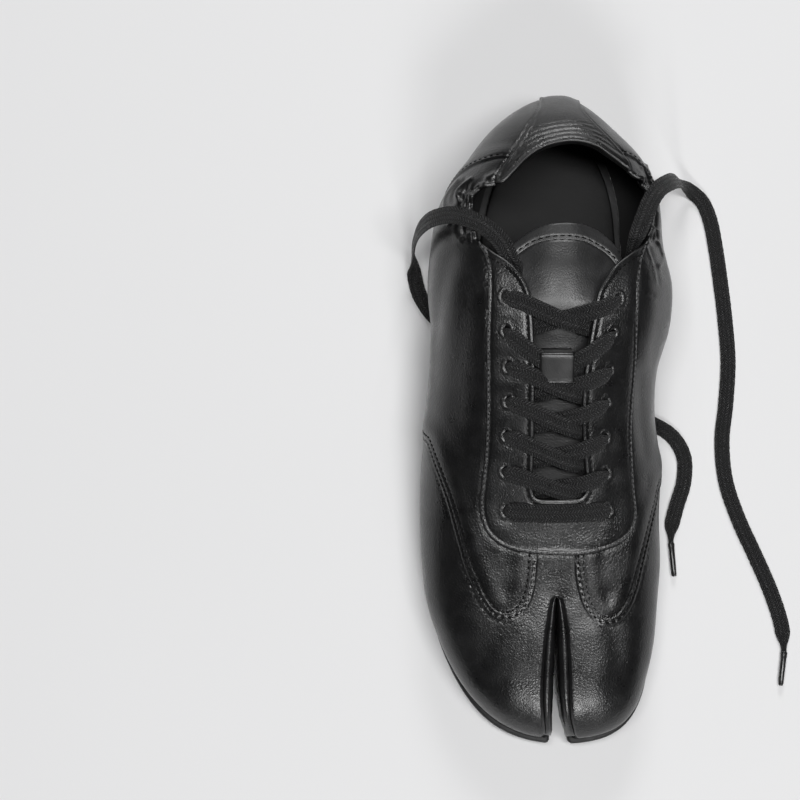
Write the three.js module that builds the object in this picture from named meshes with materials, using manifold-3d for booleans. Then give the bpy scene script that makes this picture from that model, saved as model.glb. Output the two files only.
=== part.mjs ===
// A split toe lace-up driving shoe for the right foot, in millimetres.
// +Y points to the toes, +X to the outer (lateral) side and +Z up. The floor is z = 0.
// The shape of the last is a table of cross sections from heel to toe. Every leather piece is cut
// out of that one form, swollen or shrunk by its distance from it.
import * as THREE from 'three';
import { mergeVertices } from 'three/addons/utils/BufferGeometryUtils.js';
import Module from 'manifold-3d';

const wasm = await Module();
wasm.setup();

// Driving sizes
const LENGTH = 284;
const BALL_WIDTH = 104.5;
const INSTEP_HEIGHT = 73;
const UPPER_WALL = 2;
const GUSSET_WALL = 2;
const GUSSET_RAISE = 0.6;
const VAMP_OVERLAY = 0.9;
const EYESTAY_THICKNESS = 1.2;
const COUNTER_THICKNESS = 0.9;
const COLLAR_THICKNESS = 1.1;
const HEEL_STRIP_THICKNESS = 1.5;
const TONGUE_THICKNESS = 2.2;
const INSOLE_THICKNESS = 3;
const FOREFOOT_SOLE = 6.5;
const HEEL_SOLE = 10.5;
const ARCH_LIFT = 3.4;
const TOE_SPRING = 4.5;
const SOLE_EDGE = 1.8;
const TREAD_DEPTH = 1.2;
const TREAD_WIDTH = 2.4;
const LACE_WIDTH = 7.5;
const LACE_THICKNESS = 1.3;
const AGLET_LENGTH = 15;
const AGLET_DIAMETER = 2.6;
const EYELET_LENGTH = 6.5;
const EYELET_WIDTH = 1.6;
const KEEPER_WIDTH = 14;
const KEEPER_LENGTH = 10.5;
const KEEPER_THICKNESS = 1.2;
const GAP = 0.3;

const STATIONS = 28;
const SECTION_STEPS = 7;
const EDGE_STEPS = 3;
const ABOVE = 1.4 * INSTEP_HEIGHT;
const UPPER_HALF = 0.45 * INSTEP_HEIGHT;

// Cross sections of the last. at: share of the upper's length from the heel. ridge, lateral and
// medial: the crown line's sideways place and the half widths from it, as shares of the ball width.
// crown and bulge: the heights of the crown and of the widest line, as shares of the instep height.
// full: how square the arch of the section is.
const SECTIONS = [
  { at: 0.0, ridge: -0.061, lateral: 0.0, medial: 0.0, crown: 0.315, bulge: 0.315, full: 2.2 },
  { at: 0.02, ridge: -0.065, lateral: 0.172, medial: 0.113, crown: 0.54, bulge: 0.322, full: 2.2 },
  { at: 0.06, ridge: -0.071, lateral: 0.308, medial: 0.22, crown: 0.73, bulge: 0.336, full: 2.2 },
  { at: 0.113, ridge: -0.078, lateral: 0.42, medial: 0.335, crown: 0.85, bulge: 0.356, full: 2.25 },
  { at: 0.18, ridge: -0.078, lateral: 0.528, medial: 0.398, crown: 0.925, bulge: 0.37, full: 2.3 },
  { at: 0.25, ridge: -0.071, lateral: 0.557, medial: 0.418, crown: 0.973, bulge: 0.384, full: 2.3 },
  { at: 0.31, ridge: -0.057, lateral: 0.554, medial: 0.465, crown: 1.0, bulge: 0.384, full: 2.3 },
  { at: 0.37, ridge: -0.044, lateral: 0.528, medial: 0.467, crown: 0.993, bulge: 0.37, full: 2.2 },
  { at: 0.44, ridge: -0.031, lateral: 0.517, medial: 0.427, crown: 0.952, bulge: 0.336, full: 2.05 },
  { at: 0.5, ridge: -0.025, lateral: 0.526, medial: 0.425, crown: 0.89, bulge: 0.301, full: 2.0 },
  { at: 0.58, ridge: -0.023, lateral: 0.547, medial: 0.452, crown: 0.788, bulge: 0.26, full: 2.0 },
  { at: 0.66, ridge: -0.025, lateral: 0.555, medial: 0.443, crown: 0.682, bulge: 0.233, full: 2.05 },
  { at: 0.73, ridge: -0.029, lateral: 0.551, medial: 0.442, crown: 0.6, bulge: 0.215, full: 2.15 },
  { at: 0.79, ridge: -0.033, lateral: 0.534, medial: 0.425, crown: 0.542, bulge: 0.205, full: 2.25 },
  { at: 0.85, ridge: -0.038, lateral: 0.486, medial: 0.404, crown: 0.496, bulge: 0.198, full: 2.35 },
  { at: 0.91, ridge: -0.047, lateral: 0.413, medial: 0.358, crown: 0.444, bulge: 0.192, full: 2.4 },
  { at: 0.955, ridge: -0.056, lateral: 0.322, medial: 0.302, crown: 0.378, bulge: 0.188, full: 2.4 },
  { at: 0.985, ridge: -0.061, lateral: 0.206, medial: 0.211, crown: 0.288, bulge: 0.186, full: 2.3 },
  { at: 1.0, ridge: -0.065, lateral: 0.0, medial: 0.0, crown: 0.185, bulge: 0.185, full: 2.2 },
];

// The sole's outline. at: share of the sole's length. ridge: the outline's own middle line.
// lateral and medial: half widths from it, as shares of the ball width.
const SOLE_OUTLINE = [
  { at: 0.0, ridge: -0.045, lateral: 0.0, medial: 0.0 },
  { at: 0.02, ridge: -0.045, lateral: 0.145, medial: 0.135 },
  { at: 0.06, ridge: -0.042, lateral: 0.235, medial: 0.222 },
  { at: 0.13, ridge: -0.038, lateral: 0.312, medial: 0.29 },
  { at: 0.22, ridge: -0.034, lateral: 0.352, medial: 0.312 },
  { at: 0.32, ridge: -0.03, lateral: 0.368, medial: 0.305 },
  { at: 0.42, ridge: -0.026, lateral: 0.386, medial: 0.288 },
  { at: 0.52, ridge: -0.024, lateral: 0.438, medial: 0.33 },
  { at: 0.6, ridge: -0.024, lateral: 0.49, medial: 0.39 },
  { at: 0.68, ridge: -0.026, lateral: 0.522, medial: 0.418 },
  { at: 0.75, ridge: -0.03, lateral: 0.525, medial: 0.42 },
  { at: 0.82, ridge: -0.036, lateral: 0.5, medial: 0.408 },
  { at: 0.88, ridge: -0.043, lateral: 0.448, medial: 0.384 },
  { at: 0.93, ridge: -0.052, lateral: 0.38, medial: 0.342 },
  { at: 0.97, ridge: -0.059, lateral: 0.282, medial: 0.268 },
  { at: 0.99, ridge: -0.063, lateral: 0.178, medial: 0.178 },
  { at: 1.0, ridge: -0.065, lateral: 0.0, medial: 0.0 },
];

// Edges drawn on the last, seen from above. along: share of the length, from the middle of the
// shoe to the toes. lateral and medial: the edge's two sides, as shares of the ball width.
const OPENING = [
  { along: -0.398, lateral: -0.085, medial: -0.097 },
  { along: -0.393, lateral: -0.022, medial: -0.163 },
  { along: -0.384, lateral: 0.038, medial: -0.215 },
  { along: -0.37, lateral: 0.099, medial: -0.258 },
  { along: -0.352, lateral: 0.148, medial: -0.308 },
  { along: -0.336, lateral: 0.187, medial: -0.352 },
  { along: -0.324, lateral: 0.268, medial: -0.383 },
  { along: -0.303, lateral: 0.32, medial: -0.411 },
  { along: -0.275, lateral: 0.325, medial: -0.413 },
  { along: -0.25, lateral: 0.316, medial: -0.407 },
  { along: -0.232, lateral: 0.274, medial: -0.359 },
  { along: -0.218, lateral: 0.225, medial: -0.31 },
  { along: -0.204, lateral: 0.172, medial: -0.26 },
  { along: -0.187, lateral: 0.134, medial: -0.222 },
  { along: -0.165, lateral: 0.119, medial: -0.188 },
  { along: -0.134, lateral: 0.094, medial: -0.163 },
  { along: -0.092, lateral: 0.082, medial: -0.147 },
  { along: 0.0, lateral: 0.078, medial: -0.122 },
  { along: 0.049, lateral: 0.078, medial: -0.123 },
  { along: 0.099, lateral: 0.081, medial: -0.136 },
  { along: 0.123, lateral: 0.083, medial: -0.143 },
  { along: 0.134, lateral: 0.057, medial: -0.115 },
  { along: 0.138, lateral: -0.01, medial: -0.04 },
];

const EYESTAY_EDGE = [
  { along: -0.25, lateral: 0.255, medial: -0.352 },
  { along: -0.176, lateral: 0.255, medial: -0.344 },
  { along: -0.106, lateral: 0.258, medial: -0.336 },
  { along: 0.0, lateral: 0.258, medial: -0.322 },
  { along: 0.07, lateral: 0.265, medial: -0.323 },
  { along: 0.137, lateral: 0.283, medial: -0.338 },
  { along: 0.158, lateral: 0.279, medial: -0.343 },
  { along: 0.176, lateral: 0.264, medial: -0.331 },
  { along: 0.192, lateral: 0.239, medial: -0.304 },
  { along: 0.204, lateral: 0.196, medial: -0.258 },
  { along: 0.213, lateral: 0.124, medial: -0.182 },
  { along: 0.219, lateral: 0.0, medial: -0.077 },
];

const HEEL_STRIP_EDGE = [
  { along: -0.52, lateral: 0.017, medial: -0.146 },
  { along: -0.487, lateral: 0.017, medial: -0.143 },
  { along: -0.462, lateral: 0.032, medial: -0.148 },
  { along: -0.437, lateral: 0.069, medial: -0.187 },
  { along: -0.414, lateral: 0.104, medial: -0.232 },
  { along: -0.392, lateral: 0.139, medial: -0.273 },
  { along: -0.372, lateral: 0.173, medial: -0.309 },
  { along: -0.35, lateral: 0.216, medial: -0.349 },
  { along: -0.334, lateral: 0.235, medial: -0.375 },
];

// The forward edge of the two side counters, from the heel strip round to the sole.
// x: share of the ball width. along: share of the length.
const COUNTER_LATERAL_TOP = [
  { x: 0.13, along: -0.39 },
  { x: 0.175, along: -0.378 },
  { x: 0.275, along: -0.376 },
  { x: 0.35, along: -0.369 },
  { x: 0.401, along: -0.356 },
  { x: 0.439, along: -0.329 },
  { x: 0.47, along: -0.3 },
  { x: 0.54, along: -0.27 },
];
const COUNTER_MEDIAL_TOP = [
  { x: -0.26, along: -0.4 },
  { x: -0.316, along: -0.385 },
  { x: -0.359, along: -0.381 },
  { x: -0.4, along: -0.366 },
  { x: -0.425, along: -0.349 },
  { x: -0.459, along: -0.324 },
  { x: -0.49, along: -0.296 },
  { x: -0.56, along: -0.27 },
];

// The lower edge of the gathered collar band on each side, from the heel strip to the eyestay.
const COLLAR_LATERAL = [
  { x: 0.2, along: -0.375 },
  { x: 0.31, along: -0.365 },
  { x: 0.395, along: -0.335 },
  { x: 0.425, along: -0.3 },
  { x: 0.425, along: -0.262 },
  { x: 0.39, along: -0.232 },
  { x: 0.33, along: -0.212 },
  { x: 0.24, along: -0.193 },
];
const COLLAR_MEDIAL = [
  { x: -0.33, along: -0.375 },
  { x: -0.41, along: -0.36 },
  { x: -0.462, along: -0.328 },
  { x: -0.474, along: -0.295 },
  { x: -0.474, along: -0.258 },
  { x: -0.45, along: -0.228 },
  { x: -0.4, along: -0.208 },
  { x: -0.33, along: -0.193 },
];

// The vamp's rear edge on each side: from the eyestay forward round the lobe, then back to the sole.
const VAMP_LATERAL = [
  { x: 0.08, along: 0.19 },
  { x: 0.078, along: 0.219 },
  { x: 0.081, along: 0.238 },
  { x: 0.086, along: 0.261 },
  { x: 0.104, along: 0.285 },
  { x: 0.132, along: 0.301 },
  { x: 0.177, along: 0.307 },
  { x: 0.22, along: 0.303 },
  { x: 0.263, along: 0.285 },
  { x: 0.299, along: 0.258 },
  { x: 0.328, along: 0.231 },
  { x: 0.365, along: 0.186 },
  { x: 0.4, along: 0.14 },
  { x: 0.436, along: 0.101 },
  { x: 0.466, along: 0.071 },
  { x: 0.494, along: 0.042 },
  { x: 0.51, along: 0.024 },
  { x: 0.64, along: 0.01 },
];
const VAMP_MEDIAL = [
  { x: -0.12, along: 0.19 },
  { x: -0.122, along: 0.22 },
  { x: -0.122, along: 0.242 },
  { x: -0.135, along: 0.269 },
  { x: -0.156, along: 0.292 },
  { x: -0.193, along: 0.308 },
  { x: -0.231, along: 0.315 },
  { x: -0.277, along: 0.308 },
  { x: -0.315, along: 0.29 },
  { x: -0.344, along: 0.263 },
  { x: -0.366, along: 0.233 },
  { x: -0.39, along: 0.199 },
  { x: -0.415, along: 0.165 },
  { x: -0.448, along: 0.12 },
  { x: -0.462, along: 0.087 },
  { x: -0.47, along: 0.062 },
  { x: -0.62, along: 0.04 },
];

// The slit between the toes. at: share of the upper's length. seam: half the width across the
// rolled top edges. gap: half the width between the walls. Both are shares of the ball width.
const SLIT = [
  { at: 0.784, seam: 0.003, gap: 0.002 },
  { at: 0.79, seam: 0.016, gap: 0.005 },
  { at: 0.805, seam: 0.026, gap: 0.006 },
  { at: 0.84, seam: 0.038, gap: 0.007 },
  { at: 0.88, seam: 0.047, gap: 0.007 },
  { at: 0.92, seam: 0.053, gap: 0.008 },
  { at: 0.95, seam: 0.055, gap: 0.014 },
  { at: 0.975, seam: 0.056, gap: 0.025 },
  { at: 1.0, seam: 0.06, gap: 0.035 },
  { at: 1.03, seam: 0.064, gap: 0.042 },
];
const SLIT_ROLL = 7;

// Eyelets in pairs, from the toe end up. along: share of the length. The sides are shares of the
// ball width. slant: how far towards the toes the lace runs while it crosses the throat, and
// bow: how far it bows towards them halfway, both as shares of the length.
const EYELETS = [
  { along: 0.147, lateral: 0.2, medial: -0.256, slant: 0, bow: 0.005 },
  { along: 0.095, lateral: 0.203, medial: -0.257, slant: 0.026, bow: 0.004 },
  { along: 0.044, lateral: 0.2, medial: -0.25, slant: 0.044, bow: 0.004 },
  { along: -0.006, lateral: 0.195, medial: -0.248, slant: 0.044, bow: 0.004 },
  { along: -0.056, lateral: 0.195, medial: -0.253, slant: 0.046, bow: 0.004 },
  { along: -0.107, lateral: 0.2, medial: -0.262, slant: 0.05, bow: 0.0205 },
  { along: -0.157, lateral: 0.205, medial: -0.276, slant: 0.042, bow: 0.003 },
];
const KEEPER_PAIR = 5;

// The two free ends of the lace, from under the top eyelets over the collar to the floor.
// Each row is a point on the lace's middle line and the direction of its flat width.
const LATERAL_END = [
  [8.4, -50, 71.2, 1, 0.2, -0.1],
  [11, -57, 71.2, 1, 0.3, -0.1],
  [15.4, -63.6, 70.2, 0.9, 0.5, -0.2],
  [19.6, -70.4, 68.8, 0.8, 0.6, -0.1],
  [26, -75.8, 67, 0.6, 0.8, 0],
  [33.5, -79.4, 64.6, 0.3, 1, 0],
  [42, -81.2, 60.8, 0.1, 1, 0],
  [49.8, -81.2, 53.4, 0, 1, 0],
  [54.9, -79.8, 41, 0, 1, 0],
  [57.4, -77.4, 26, 0, 1, 0.2],
  [58.2, -73.4, 12.4, 0, 0.9, 0.5],
  [57.6, -66.4, 3.6, 0.7, 0.5, 0.3],
  [55.4, -58, 1, 1, 0.2, 0],
  [50.6, -49.9, 0.8, 0.8, -0.5, 0],
  [43, -42, 0.8, 0.6, -0.7, 0],
  [28, -31, 0.8, 0.5, -0.8, 0],
  [8, -20.5, 0.8, 0.4, -0.9, 0],
  [-12, -12.5, 0.8, 0.3, -1, 0],
  [-32, -5.6, 0.8, 0.3, -1, 0],
  [-48, 0.6, 0.8, 0.4, -0.9, 0],
  [-57.4, 6.6, 0.8, 0.7, -0.7, 0],
  [-62.4, 15.6, 0.8, 1, -0.2, 0],
  [-62.2, 27, 0.8, 1, 0.2, 0],
  [-58.8, 38, 0.8, 1, 0.3, 0],
  [-56.4, 47.5, 0.8, 1, 0.2, 0],
  [-56.1, 54, 1, 1, 0, 0],
];
const LATERAL_AGLET = [-57.2, 68.5, 1.35];

const MEDIAL_END = [
  [-32.6, -61, 55.8, -0.8, 0.2, -0.6],
  [-33.8, -66.5, 58.6, -0.8, 0.2, -0.5],
  [-35.6, -72, 61.6, -0.9, 0.3, -0.3],
  [-38, -78.4, 63.4, -0.9, 0.5, -0.1],
  [-41.4, -86, 62.4, -0.7, 0.7, 0],
  [-46.2, -92.6, 59.6, -0.5, 0.9, 0],
  [-52, -97.4, 52.6, -0.5, 0.9, 0],
  [-56.4, -100.8, 40, -0.5, 0.9, 0],
  [-59.6, -103.4, 25, -0.5, 0.9, 0],
  [-62.4, -105.2, 11, -0.3, 0.9, 0.1],
  [-67, -105, 2.6, 0.2, 1, 0.1],
  [-72.4, -100.6, 0.8, 0.8, 0.7, 0],
  [-76, -92, 0.8, 0.9, 0.4, 0],
  [-78.2, -80, 0.8, 1, 0.2, 0],
  [-80.2, -64, 0.8, 1, 0.1, 0],
  [-82, -46, 0.8, 1, 0.1, 0],
  [-83, -27, 0.8, 1, 0, 0],
  [-81.6, -8, 0.8, 1, -0.1, 0],
  [-79.6, 9, 0.8, 1, 0, 0],
  [-81, 27, 0.8, 1, 0.2, 0],
  [-86.4, 44, 0.8, 1, 0.4, 0],
  [-93.4, 60, 0.8, 0.9, 0.4, 0],
  [-100, 76, 0.8, 0.9, 0.3, 0],
  [-104.4, 91, 0.8, 1, 0.2, 0],
  [-105.2, 102, 1, 1, 0, 0],
];
const MEDIAL_AGLET = [-103.2, 117, 1.35];

const HEEL_Y = -LENGTH / 2;
const UPPER_LENGTH = LENGTH - SOLE_EDGE - GAP;
const SOLE_TUCK = 4.5;
const SOLE_LENGTH = LENGTH - SOLE_TUCK;

// Smooth columns of a table
const turnOf = (at) => Math.acos(Math.min(1, Math.max(-1, 1 - 2 * at)));

function smoothColumn(rows, key, argument) {
  const xs = rows.map(argument);
  const ys = rows.map((row) => row[key]);
  const slopes = ys.map((y, i) => {
    if (i === 0 || i === ys.length - 1) return null;
    const before = xs[i] - xs[i - 1];
    const after = xs[i + 1] - xs[i];
    const rise = (ys[i] - ys[i - 1]) / before;
    const next = (ys[i + 1] - ys[i]) / after;
    return (rise * after + next * before) / (before + after);
  });
  const last = ys.length - 1;
  slopes[0] = (ys[1] - ys[0]) / (xs[1] - xs[0]);
  slopes[last] = (ys[last] - ys[last - 1]) / (xs[last] - xs[last - 1]);
  return (x) => {
    let i = 0;
    while (i < last - 1 && x > xs[i + 1]) i += 1;
    const span = xs[i + 1] - xs[i];
    const u = Math.min(1, Math.max(0, (x - xs[i]) / span));
    const rest = 1 - u;
    return (
      ys[i] * (1 + 2 * u) * rest * rest +
      ys[i + 1] * u * u * (3 - 2 * u) +
      span * u * rest * (slopes[i] * rest - slopes[i + 1] * u)
    );
  };
}

function columnsOf(rows, keys) {
  const made = {};
  for (const key of keys) {
    const column = smoothColumn(rows, key, (row) => turnOf(row.at));
    made[key] = (at) => column(turnOf(at));
  }
  return made;
}

const last = columnsOf(SECTIONS, ['ridge', 'lateral', 'medial', 'crown', 'bulge', 'full']);
const footprint = columnsOf(SOLE_OUTLINE, ['ridge', 'lateral', 'medial']);
const slit = {};
for (const key of ['seam', 'gap']) slit[key] = smoothColumn(SLIT, key, (row) => row.at);

// The sole's underside and top, along its length
const blend = (from, to, x) => {
  const u = Math.min(1, Math.max(0, (x - from) / (to - from)));
  return u * u * (3 - 2 * u);
};
const soleShare = (y) => Math.min(1, Math.max(0, (y - HEEL_Y - SOLE_TUCK) / SOLE_LENGTH));

function soleBottom(y) {
  const at = soleShare(y);
  const arch = ARCH_LIFT * blend(0.22, 0.38, at) * (1 - blend(0.46, 0.62, at));
  const toe = TOE_SPRING * Math.max(0, (at - 0.8) / 0.2) ** 2;
  return arch + toe;
}

function soleTop(y) {
  const at = soleShare(y);
  const thickness = HEEL_SOLE + (FOREFOOT_SOLE - HEEL_SOLE) * blend(0.3, 0.66, at);
  return soleBottom(y) + thickness - 0.2 * FOREFOOT_SOLE * blend(0.8, 1, at);
}

// Solids
function solidOf(geometry) {
  const bare = new THREE.BufferGeometry();
  bare.setAttribute('position', geometry.getAttribute('position'));
  if (geometry.index) bare.setIndex(geometry.index);
  const merged = mergeVertices(bare, 1e-4);
  const corners = merged.index.array;
  const kept = [];
  for (let i = 0; i < corners.length; i += 3) {
    const [a, b, c] = [corners[i], corners[i + 1], corners[i + 2]];
    if (a !== b && b !== c && c !== a) kept.push(a, b, c);
  }
  return new wasm.Manifold(
    new wasm.Mesh({
      numProp: 3,
      vertProperties: new Float32Array(merged.attributes.position.array),
      triVerts: new Uint32Array(kept),
    }),
  );
}

function geometryOf(solid) {
  const mesh = solid.getMesh();
  const points = new Float32Array(mesh.numVert * 3);
  for (let i = 0; i < mesh.numVert; i += 1) {
    points.set(mesh.vertProperties.subarray(i * mesh.numProp, i * mesh.numProp + 3), 3 * i);
  }
  const geometry = new THREE.BufferGeometry();
  geometry.setAttribute('position', new THREE.BufferAttribute(points, 3));
  geometry.setIndex(new THREE.BufferAttribute(new Uint32Array(mesh.triVerts), 1));
  geometry.computeVertexNormals();
  return geometry;
}

// A closed skin over rings of equal length, with the first and last ring closed by fans.
function loft(rings) {
  const points = rings.flat();
  const around = rings[0].length;
  const faces = [];
  for (let i = 0; i < rings.length - 1; i += 1) {
    for (let j = 0; j < around; j += 1) {
      const next = (j + 1) % around;
      const [a, b] = [i * around + j, i * around + next];
      const [c, d] = [a + around, b + around];
      faces.push(a, b, d, a, d, c);
    }
  }
  const end = (rings.length - 1) * around;
  for (let j = 1; j < around - 1; j += 1) {
    faces.push(0, j + 1, j);
    faces.push(end, end + j, end + j + 1);
  }
  const geometry = new THREE.BufferGeometry().setFromPoints(points);
  geometry.setIndex(faces);
  const solid = solidOf(geometry);
  if (solid.volume() > 0) return solid;
  geometry.setIndex(faces.reverse());
  return solidOf(geometry);
}

// One section ring of the last, swollen by grow, its foot at lift above the sole.
function sectionRing(at, grow, lift) {
  const y = HEEL_Y - grow + (UPPER_LENGTH + 2 * grow) * at;
  const open = Math.sin(turnOf(at)) > 1e-6 ? 1 : 0;
  const ridge = BALL_WIDTH * last.ridge(at);
  const bulge = INSTEP_HEIGHT * last.bulge(at);
  const rise = INSTEP_HEIGHT * (last.crown(at) - last.bulge(at)) + grow * open;
  const power = 2 / last.full(at);
  const footY = HEEL_Y + SOLE_TUCK + SOLE_EDGE - grow + (SOLE_LENGTH - 2 * SOLE_EDGE + 2 * grow) * at;
  const footMiddle = BALL_WIDTH * footprint.ridge(at);
  const footZ = soleTop(footY) + lift;
  const half = { 1: BALL_WIDTH * last.lateral(at) + grow * open, '-1': BALL_WIDTH * last.medial(at) + grow * open };
  const foot = {
    1: Math.max(0, BALL_WIDTH * footprint.lateral(at) - (SOLE_EDGE - grow) * open),
    '-1': Math.max(0, BALL_WIDTH * footprint.medial(at) - (SOLE_EDGE - grow) * open),
  };
  const edge = (side) => {
    const points = [];
    for (let k = EDGE_STEPS; k > 0; k -= 1) {
      const turn = (Math.PI / 2) * (k / EDGE_STEPS);
      const inward = 1 - Math.cos(turn);
      const from = new THREE.Vector3(ridge + side * half[side], y, bulge);
      const to = new THREE.Vector3(footMiddle + side * foot[side], footY, footZ);
      points.push(
        new THREE.Vector3(
          from.x + (to.x - from.x) * inward,
          from.y + (to.y - from.y) * inward,
          from.z + (to.z - from.z) * Math.sin(turn),
        ),
      );
    }
    return points;
  };
  const arch = [];
  for (let k = 0; k <= 2 * SECTION_STEPS; k += 1) {
    const turn = (Math.PI * k) / (2 * SECTION_STEPS);
    const across = Math.cos(turn);
    const side = k <= SECTION_STEPS ? 1 : -1;
    arch.push(
      new THREE.Vector3(
        ridge + side * half[side] * Math.abs(across) ** power,
        y,
        bulge + rise * Math.sin(turn) ** power,
      ),
    );
  }
  return [...edge(1), ...arch, ...edge(-1).reverse()];
}

function formSolid(grow, lift = GAP) {
  const rings = [];
  for (let i = 0; i <= STATIONS; i += 1) {
    rings.push(sectionRing((1 - Math.cos((Math.PI * i) / STATIONS)) / 2, grow, lift));
  }
  return loft(rings);
}

// The height of the last above a point, seen from above
function heightAt(x, y, grow = 0) {
  const at = (y - HEEL_Y + grow) / (UPPER_LENGTH + 2 * grow);
  const ridge = BALL_WIDTH * last.ridge(at);
  const half = BALL_WIDTH * (x > ridge ? last.lateral(at) : last.medial(at)) + grow;
  const full = last.full(at);
  const share = Math.min(1, Math.abs(x - ridge) / half);
  const bulge = INSTEP_HEIGHT * last.bulge(at);
  const rise = INSTEP_HEIGHT * last.crown(at) + grow - bulge;
  return bulge + rise * (1 - share ** full) ** (1 / full);
}

// A plan outline raised into an upright prism, from a level to above the shoe
function prism(points, level = -ABOVE / 2) {
  const shape = new THREE.Shape(points.map(([x, y]) => new THREE.Vector2(x, y)));
  const geometry = new THREE.ExtrudeGeometry(shape, { depth: 2 * ABOVE, bevelEnabled: false });
  geometry.translate(0, 0, level);
  return solidOf(geometry);
}

// A two-sided table of edges as one plan outline, moved outwards by grow
function band(rows, grow = 0) {
  const side = (key, sign) =>
    rows.map((row) => [BALL_WIDTH * row[key] + sign * grow, LENGTH * row.along]);
  return [...side('lateral', 1), ...side('medial', -1).reverse()];
}

const path = (rows) => rows.map((row) => [BALL_WIDTH * row.x, LENGTH * row.along]);

// The slit's own solid: straight walls below and a rolled mouth above, all widened by grow
function slitSolid(grow, startAt = SLIT[0].at) {
  const rows = SLIT.filter((row) => row.at >= startAt);
  const rings = rows.map((row) => {
    const at = Math.min(row.at, 0.96);
    const y = HEEL_Y + UPPER_LENGTH * row.at - (row === rows[0] ? grow : 0);
    const x = BALL_WIDTH * last.ridge(Math.min(row.at, 1));
    const crown = INSTEP_HEIGHT * last.crown(at);
    const gap = BALL_WIDTH * slit.gap(row.at) + grow;
    const seam = BALL_WIDTH * slit.seam(row.at) + grow;
    return [
      new THREE.Vector3(x - gap, y, -ABOVE / 4),
      new THREE.Vector3(x + gap, y, -ABOVE / 4),
      new THREE.Vector3(x + gap, y, crown - SLIT_ROLL - grow),
      new THREE.Vector3(x + seam, y, crown + 2),
      new THREE.Vector3(x - seam, y, crown + 2),
      new THREE.Vector3(x - gap, y, crown - SLIT_ROLL - grow),
    ];
  });
  return loft(rings);
}

const openingSolid = prism(band(OPENING), UPPER_HALF);
const eyestayPlan = prism(band(EYESTAY_EDGE));

// Upper: one hollow skin with the vamp laid over its quarters
function makeUpper() {
  const outside = HEEL_Y - LENGTH;
  const front = LENGTH;
  const vampPlan = prism([
    ...path(VAMP_LATERAL),
    [LENGTH, path(VAMP_LATERAL).at(-1)[1]],
    [LENGTH, front],
    [-LENGTH, front],
    [-LENGTH, path(VAMP_MEDIAL).at(-1)[1]],
    ...path(VAMP_MEDIAL).reverse(),
  ]).subtract(prism(band(EYESTAY_EDGE, GAP)).add(prism([
    [-BALL_WIDTH, outside],
    [BALL_WIDTH, outside],
    [BALL_WIDTH, 0],
    [-BALL_WIDTH, 0],
  ])));
  const skin = formSolid(0).add(formSolid(VAMP_OVERLAY).intersect(vampPlan));
  const mouth = slabSolid([{ inset: SOLE_EDGE + UPPER_WALL, level: 0 },
    { inset: SOLE_EDGE + UPPER_WALL, level: 1 }], bedRing(-UPPER_WALL, 3 * UPPER_WALL));
  const cavity = formSolid(-UPPER_WALL, GAP + UPPER_WALL).add(mouth);
  return skin
    .subtract(cavity)
    .subtract(slitSolid(GUSSET_WALL + GAP))
    .subtract(openingSolid)
    .subtract(eyeletSlots());
}

// Gusset: the folded strip that lines the slit between the toes
function makeGusset() {
  const skin = formSolid(VAMP_OVERLAY + GUSSET_RAISE).intersect(slitSolid(GUSSET_WALL));
  return skin.subtract(slitSolid(0));
}

// Eyelets are plain punched slots, long enough for the flat lace
function eyeletSlots() {
  let slots = null;
  for (const eyelet of EYELETS) {
    for (const side of ['lateral', 'medial']) {
      const x = BALL_WIDTH * eyelet[side];
      const y = LENGTH * eyelet.along;
      const [w, l] = [EYELET_WIDTH / 2, EYELET_LENGTH / 2];
      const slot = prism([[x - w, y - l], [x + w, y - l], [x + w, y + l], [x - w, y + l]], UPPER_HALF);
      slots = slots ? slots.add(slot) : slot;
    }
  }
  return slots;
}

// A leather piece laid on the last: between two swollen forms, inside a plan outline
function layer(base, thickness, plan) {
  return formSolid(base + thickness).intersect(plan).subtract(formSolid(base, -1));
}

function makeEyestay() {
  return layer(GAP, EYESTAY_THICKNESS, eyestayPlan).subtract(openingSolid).subtract(eyeletSlots());
}

function makeHeelStrip() {
  return layer(GAP, HEEL_STRIP_THICKNESS, prism(band(HEEL_STRIP_EDGE))).subtract(openingSolid);
}

function counterPlan(top, sign, grow = 0) {
  const line = path(top).map(([x, y]) => [x - sign * grow, y + grow]);
  const [, lastY] = line.at(-1);
  return prism([
    ...line,
    [sign * LENGTH, lastY],
    [sign * LENGTH, -LENGTH],
    [0, -LENGTH],
    [0, line[0][1]],
  ]);
}

function makeCounter(top, sign) {
  return layer(GAP, COUNTER_THICKNESS, counterPlan(top, sign))
    .subtract(prism(band(HEEL_STRIP_EDGE, GAP)))
    .subtract(openingSolid);
}

// Collar band: the gathered casing along each side of the opening
function makeCollar(lower, counterTop, sign) {
  const line = path(lower);
  const plan = prism([...line, [0, line.at(-1)[1]], [0, line[0][1]]], UPPER_HALF);
  return layer(GAP, COLLAR_THICKNESS, plan)
    .subtract(prism(band(HEEL_STRIP_EDGE, GAP)))
    .subtract(counterPlan(counterTop, sign, GAP))
    .subtract(prism(band(EYESTAY_EDGE, GAP)))
    .subtract(openingSolid);
}

// Tongue: a curved sheet just under the throat, round at its ankle end
function makeTongue() {
  const rows = [
    { along: -0.272, lateral: 0.02, medial: -0.1 },
    { along: -0.266, lateral: 0.09, medial: -0.19 },
    { along: -0.252, lateral: 0.148, medial: -0.258 },
    { along: -0.23, lateral: 0.19, medial: -0.29 },
    { along: -0.19, lateral: 0.2, medial: -0.29 },
    { along: 0.0, lateral: 0.165, medial: -0.215 },
    { along: 0.15, lateral: 0.15, medial: -0.2 },
    { along: 0.17, lateral: 0.12, medial: -0.18 },
  ];
  const depth = UPPER_WALL + GAP;
  return formSolid(-depth).intersect(prism(band(rows))).subtract(formSolid(-depth - TONGUE_THICKNESS, -1));
}

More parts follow.
